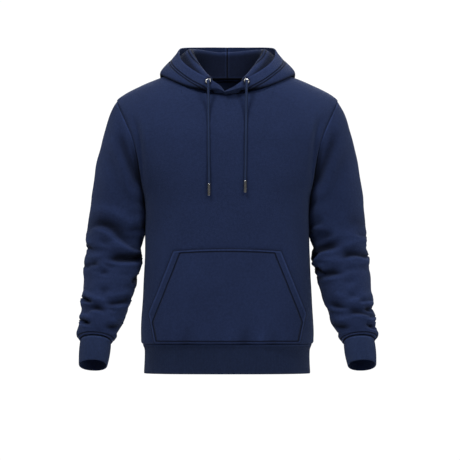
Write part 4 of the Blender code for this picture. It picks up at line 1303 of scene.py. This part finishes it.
def outlined(grid, table):
    """The sleeve drawn in or let out so that its outline passes through the table's places."""
    z = grid[..., 2]
    zs, outers, inners = (np.array(column(table, name)[::-1]) * MM for name in Outline._fields)
    outer, inner = through(zs, outers, z), through(zs, inners, z)
    cells = np.linspace(z.min(), z.max(), 130)
    cell = np.clip(np.searchsorted(cells, z) - 1, 0, len(cells) - 2)
    most, least = np.full(len(cells) - 1, -9.0), np.full(len(cells) - 1, 9.0)
    np.maximum.at(most, cell, grid[..., 0])
    np.minimum.at(least, cell, grid[..., 0])
    centres = (cells[1:] + cells[:-1]) / 2
    now_outer, now_inner = np.interp(z, centres, most), np.interp(z, centres, least)
    share = (grid[..., 0] - now_inner) / np.maximum(now_outer - now_inner, 0.01)
    wanted = mix(inner, outer, share)
    ease = smooth((-0.285 - z) / 0.04)
    moved = grid.copy()
    moved[..., 0] = mix(grid[..., 0], wanted, ease)
    return moved


def mirrored(row):
    """A crease on the other arm, run the other way, so that its banks stay above and below it."""
    start = {"x1": -row.x3, "z1": row.z3, "deep1": row.deep3}
    return row._replace(x2=-row.x2, x3=-row.x1, z3=row.z1, deep3=row.deep1, **start)


def sleeve(side):
    sizes = bpy.context.scene.hoodie_sizes
    left = side == "left"
    flip = np.array([1.0 if left else -1.0, 1.0, 1.0])
    spot = (100, SLEEVE_AROUND // 4)
    grid = sleeve_grid(sizes.detail, SLEEVE_AROUND) * flip
    normals = outward_normals(grid, True, spot, AHEAD)
    behind = SLEEVE_BACK_CREASES if left else tuple(map(mirrored, SLEEVE_BACK_CREASES))
    depth = sunk(grid, normals, SLEEVE_CREASES[side], -1) + sunk(grid, normals, behind, 1)
    # Painted shade in the creases, painted highlights on their rolls, and painted shadow where the sleeve
    # lies against the body
    shade = painted_crease_shade(depth) * painted_arm_shadow(grid, 0.011, 0.90)
    depth *= sizes.creasing
    depth += slack(grid, 0.0008, 2.2 if left else 5.3)
    to_top, to_cuff = distances(grid, grid[0]), distances(grid, grid[-1])
    edge = np.minimum(to_top, to_cuff)
    depth *= smooth(to_top / 0.014) * smooth(to_cuff / 0.010)
    depth += 0.0013 * bell(edge, SEAM_ROLL)
    depth -= 0.0016 * bell(to_cuff - 0.0038, 0.0030)
    grid = grid - normals * depth[..., None]
    grid[:, -1] = grid[:, 0]
    shaped = outlined(grid * flip, SLEEVE_OUTLINES[side]) * flip
    share = steps(sizes.detail, 0.3)
    keep = (smooth(share / 0.05) * smooth((1 - share) / 0.03))[:, None, None]
    grid = mix(grid, shaped, keep)
    values = {"stitch": to_cuff - CUFF_STITCH, "edge": edge, "shade": shade}
    piece = cloth_piece("sleeve_cloth_" + side, "fleece", "sleeve_" + side, grid, normals, True, **values)
    normals = outward_normals(grid, True, spot, AHEAD)
    sewn("sleeve_stitching_" + side, [line_beside(grid, normals, "top", CUFF_STITCH)])


class HOODIE_OT_sleeves(bpy.types.Operator):
    """Makes the two sleeves"""

    bl_idname = "hoodie.sleeves"
    bl_label = "Sleeves"

    def execute(self, context):
        for trim in TRIMS:
            sleeve(trim.side)
        return {"FINISHED"}


def rib_band(name, node, grid, spot, way, reach, waves, waist=0.0, **values):
    """A doubled band of rib, sunk into its seam, rounded at its fold and let out between them. reach is
    how far each point is from the seam and from the fold, and waves the height and kind of its slack."""
    to_seam, to_fold = reach
    normals = outward_normals(grid, True, spot, way)
    depth = slack(grid, *waves) * smooth(to_seam / 0.01)
    depth += 0.0011 * bell(to_seam, SEAM_ROLL)
    depth += 0.0008 * bell(to_fold, 0.0016)
    depth -= waist * np.sin(np.pi * np.clip(to_seam / 0.058, 0, 1))
    grid = grid - normals * depth[..., None]
    grid[:, -1] = grid[:, 0]
    return cloth_piece(name, "rib", node, grid, normals, True, edge=to_seam, **values)


class HOODIE_OT_ribs(bpy.types.Operator):
    """Makes the rib hem band and the two rib cuffs"""

    bl_idname = "hoodie.ribs"
    bl_label = "Rib hem and cuffs"

    def execute(self, context):
        grid = hem_grid(HEM_ALONG, HEM_AROUND)
        z = grid[..., 2]
        reach = (z[-1].mean() - z, z - z[0].mean())
        ahead = (10, HEM_AROUND // 4)
        piece = rib_band("hem_band", "hem_rib", grid, ahead, AHEAD, reach, (0.0006, 3.1))
        spot = (CUFF_ALONG // 2, CUFF_AROUND // 4)
        for trim in TRIMS:
            node = "cuff_" + trim.side
            flip = np.array([1.0 if trim.side == "left" else -1.0, 1.0, 1.0])
            grid = cuff_grid(CUFF_ALONG, CUFF_AROUND) * flip
            way = grid[spot] - grid.mean((0, 1))
            reach = tuple(np.linalg.norm(grid - end, axis=-1) for end in (grid[:1], grid[-1:]))
            # Painted light: the cuffs made lighter all over
            shade = np.full(grid.shape[:2], 1.40)
            name = "cuff_band_" + trim.side
            piece = rib_band(name, node, grid, spot, way, reach, (0.0005, 6.1), 0.0016, shade=shade)
        return {"FINISHED"}


def hood_half(trim):
    left = trim.side == "left"
    sign = 1.0 if left else -1.0
    grid = hood_grid(HOOD_ALONG, HOOD_AROUND, 1.0 if left else -0.85) * np.array([sign, 1.0, 1.0])
    grid[:, -1, 0] = -0.0004 * sign
    spot = (-3, HOOD_AROUND // 2)
    way = grid[spot] - np.array([0.0, NECK_AXIS_Y, grid[spot][2]])
    normals = outward_normals(grid, False, spot, way)
    to_seam, to_edge = distances(grid, grid[0]), distances(grid, grid[-1])
    edge = np.minimum(to_seam, distances(grid, grid[:, -1]))
    depth = slack(grid, 0.0007, 0.7 if left else 2.9)
    depth *= smooth(edge / 0.012)
    depth += 0.0009 * bell(edge, SEAM_ROLL)
    depth -= 0.0007 * bell(to_edge - 0.003, 0.004)
    depth += 0.0006 * bell(to_edge - HOOD_STITCH, 0.0040)
    lengths = lengths_along(grid)
    ridge = grid[:60, :, 2].argmax(0)
    past = lengths - lengths[ridge, np.arange(grid.shape[1])]
    around = np.degrees(np.arctan2(np.abs(grid[0, :, 0]), NECK_AXIS_Y - grid[0, :, 1]))[None, :]
    outer = smooth((np.arange(grid.shape[0])[:, None] / grid.shape[0] - 0.62) / 0.06)
    # Painted shade in the hollow between the ridge and the fold, and on the hood's inside behind the neck
    hollow_shade = smooth((past - 0.004) / 0.012) * (1 - outer) * smooth((around - 20) / 15)
    neck_shade = smooth(-past / 0.012) * smooth((around - 70) / 30)
    shade = (1 - 0.78 * hollow_shade) * (1 - 0.66 * neck_shade)
    # Painted highlight on the rolled edge of the opening
    shade *= 1 + 0.22 * smooth(1 - to_edge / 0.007) * smooth((around - 8) / 12)
    # Painted shadow in a ring round the eyelet, on the front only
    from_eyelet = np.hypot(grid[..., 0] - trim.top_x, grid[..., 2] - trim.eyelet_z)
    from_eyelet = from_eyelet + (grid[..., 1] > -0.08)
    shade *= 1 - 0.65 * bell(from_eyelet - 0.0070, 0.0022)
    grid = grid - normals * depth[..., None]
    values = {"stitch": to_edge - HOOD_STITCH, "edge": edge, "shade": shade}
    piece = cloth_piece("hood_cloth_" + trim.side, "hood", "hood_" + trim.side, grid, normals, **values)
    normals = outward_normals(grid, False, spot, way)
    beside = (HOOD_STITCH - TWIN_ROWS / 2, HOOD_STITCH + TWIN_ROWS / 2)
    sewn("hood_stitching_" + trim.side, [line_beside(grid, normals, "top", apart) for apart in beside])


class HOODIE_OT_hood(bpy.types.Operator):
    """Makes the two halves of the hood"""

    bl_idname = "hoodie.hood"
    bl_label = "Hood"

    def execute(self, context):
        for trim in TRIMS:
            hood_half(trim)
        return {"FINISHED"}


def pocket_grid(half):
    """Rows of points on the front, from the pocket's foot to its top, with their x, z and height shares."""
    foot, corner, top = POCKET_FOOT, POCKET_CORNER, POCKET_TOP
    low, high = steps(POCKET_LOWER), steps(POCKET_UPPER, 0.3)
    widths = np.concatenate([mix(foot.x, corner.x, low), mix(corner.x, top.x, high)[1:]])
    heights = np.concatenate([mix(foot.z, corner.z, low), mix(corner.z, top.z, high)[1:]])
    across = np.sin(np.linspace(-1, 1, 2 * half + 1) * POCKET_SPREAD) / np.sin(POCKET_SPREAD)
    x = widths[:, None] * across[None, :]
    up = (heights - foot.z) / (top.z - foot.z)
    z = heights[:, None] + POCKET_BOW * (1 - across[None, :] ** 2) * smooth(up * 1.2 - 0.2)[:, None]
    place = body_place(x, z)
    grid = body_point(place[..., 0], place[..., 1], True)
    grid[..., 0] = np.copysign(grid[..., 0], x)
    return grid, x, z, up


class HOODIE_OT_pocket(bpy.types.Operator):
    """Makes the kangaroo pocket"""

    bl_idname = "hoodie.pocket"
    bl_label = "Kangaroo pocket"

    def execute(self, context):
        sizes = context.scene.hoodie_sizes
        corner, top = POCKET_CORNER, POCKET_TOP
        spot = (40, POCKET_HALF)
        grid, x, z, up = pocket_grid(POCKET_HALF)
        across = x / np.abs(x).max(1)[:, None]
        normals = outward_normals(grid, False, spot, AHEAD)
        slant = np.array([top.x - corner.x, top.z - corner.z])
        slant /= np.linalg.norm(slant)
        inside = (corner.x - np.abs(x)) * slant[1] + (z - corner.z) * slant[0]
        from_top = distances(grid, grid[-1])
        from_side = distances(grid, grid[: POCKET_LOWER + 1, 0], grid[: POCKET_LOWER + 1, -1])
        beside = from_side * 0.6
        to_foot = z - POCKET_FOOT.z
        sag = 1 - across**2 * np.where(z[:, :1] > corner.z - 0.001, 0.6, 1.0)
        lift = mix(POCKET_EDGE_LIFT, POCKET_FULL_LIFT, np.maximum(np.sin(np.pi * up), 0)[:, None] * sag)
        lift = lift + 0.0010 * bell(np.minimum(from_top, np.abs(inside)), 0.006)
        lift = lift - 0.0016 * bell(to_foot, 0.004) - 0.0008 * bell(from_side, 0.003)
        lift = lift + slack(grid, 0.0005, 7.7) * smooth(to_foot / 0.01)
        creases = sunk(grid, normals, FRONT_CREASES[4:], -1)
        lift = lift - creases * smooth(to_foot / 0.008) * sizes.creasing * 0.8
        lift = np.maximum(lift, 0.0010)
        grid = grid + normals * (lift + sizes.fleece)[..., None]
        lines = [from_top - POCKET_TOP_STITCH, inside - POCKET_HAND_STITCH]
        lines += [to_foot - POCKET_FOOT_STITCH, beside - ARMHOLE_STITCH]
        values = {
            "stitch": np.minimum.reduce(lines),
            "edge": np.minimum.reduce([beside, to_foot + 0.001, from_top, np.abs(inside)]),
            # Painted shade in the pocket's creases, with painted highlights on their rolls
            "shade": painted_crease_shade(creases * 1.6),
        }
        piece = cloth_piece("pocket_cloth", "fleece", "pocket", grid, normals, **values)
        normals = outward_normals(grid, False, spot, AHEAD)
        start = (POCKET_LOWER - 2) / (POCKET_LOWER + POCKET_UPPER)
        rows = [line_beside(grid, normals, "top", POCKET_TOP_STITCH)]
        for side in ("left", "right"):
            rows.append(line_beside(grid, normals, side, POCKET_HAND_STITCH, start, 0.97))
        sewn("pocket_stitching", rows)
        return {"FINISHED"}


class HOODIE_OT_metal(bpy.types.Operator):
    """Finishes the metal eyelets and the drawcord's tips"""

    bl_idname = "hoodie.metal"
    bl_label = "Eyelets and tips"

    def execute(self, context):
        for trim in TRIMS:
            for kind in ("eyelet_", "aglet_"):
                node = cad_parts[kind + trim.side]
                for slot in node.material_slots:
                    slot.material = finish("polished nickel")
        return {"FINISHED"}


OPERATORS = (
    HOODIE_OT_stage,
    HOODIE_OT_drawcords,
    HOODIE_OT_body,
    HOODIE_OT_sleeves,
    HOODIE_OT_ribs,
    HOODIE_OT_hood,
    HOODIE_OT_pocket,
    HOODIE_OT_metal,
)


class HOODIE_PT_panel(bpy.types.Panel):
    """Lists the hoodie's operators, sizes and colours"""

    bl_label = "Hoodie"
    bl_space_type = "VIEW_3D"
    bl_region_type = "UI"
    bl_category = "Hoodie"

    def draw(self, context):
        layout = self.layout
        for group in (context.scene.hoodie_sizes, context.scene.hoodie_colours):
            for name in group.__annotations__:
                layout.prop(group, name)
        for operator in OPERATORS:
            layout.operator(operator.bl_idname)


CLASSES = (HoodieSizes, HoodieColours, *OPERATORS, HOODIE_PT_panel)


def register():
    for kind in CLASSES:
        bpy.utils.register_class(kind)
    bpy.types.Scene.hoodie_sizes = PointerProperty(type=HoodieSizes)
    bpy.types.Scene.hoodie_colours = PointerProperty(type=HoodieColours)


def unregister():
    del bpy.types.Scene.hoodie_sizes
    del bpy.types.Scene.hoodie_colours
    for kind in reversed(CLASSES):
        bpy.utils.unregister_class(kind)


def main():
    register()
    for operator in OPERATORS:
        module, name = operator.bl_idname.split(".")
        getattr(getattr(bpy.ops, module), name)()
    bpy.context.view_layer.update()


if __name__ == "__main__":
    main()
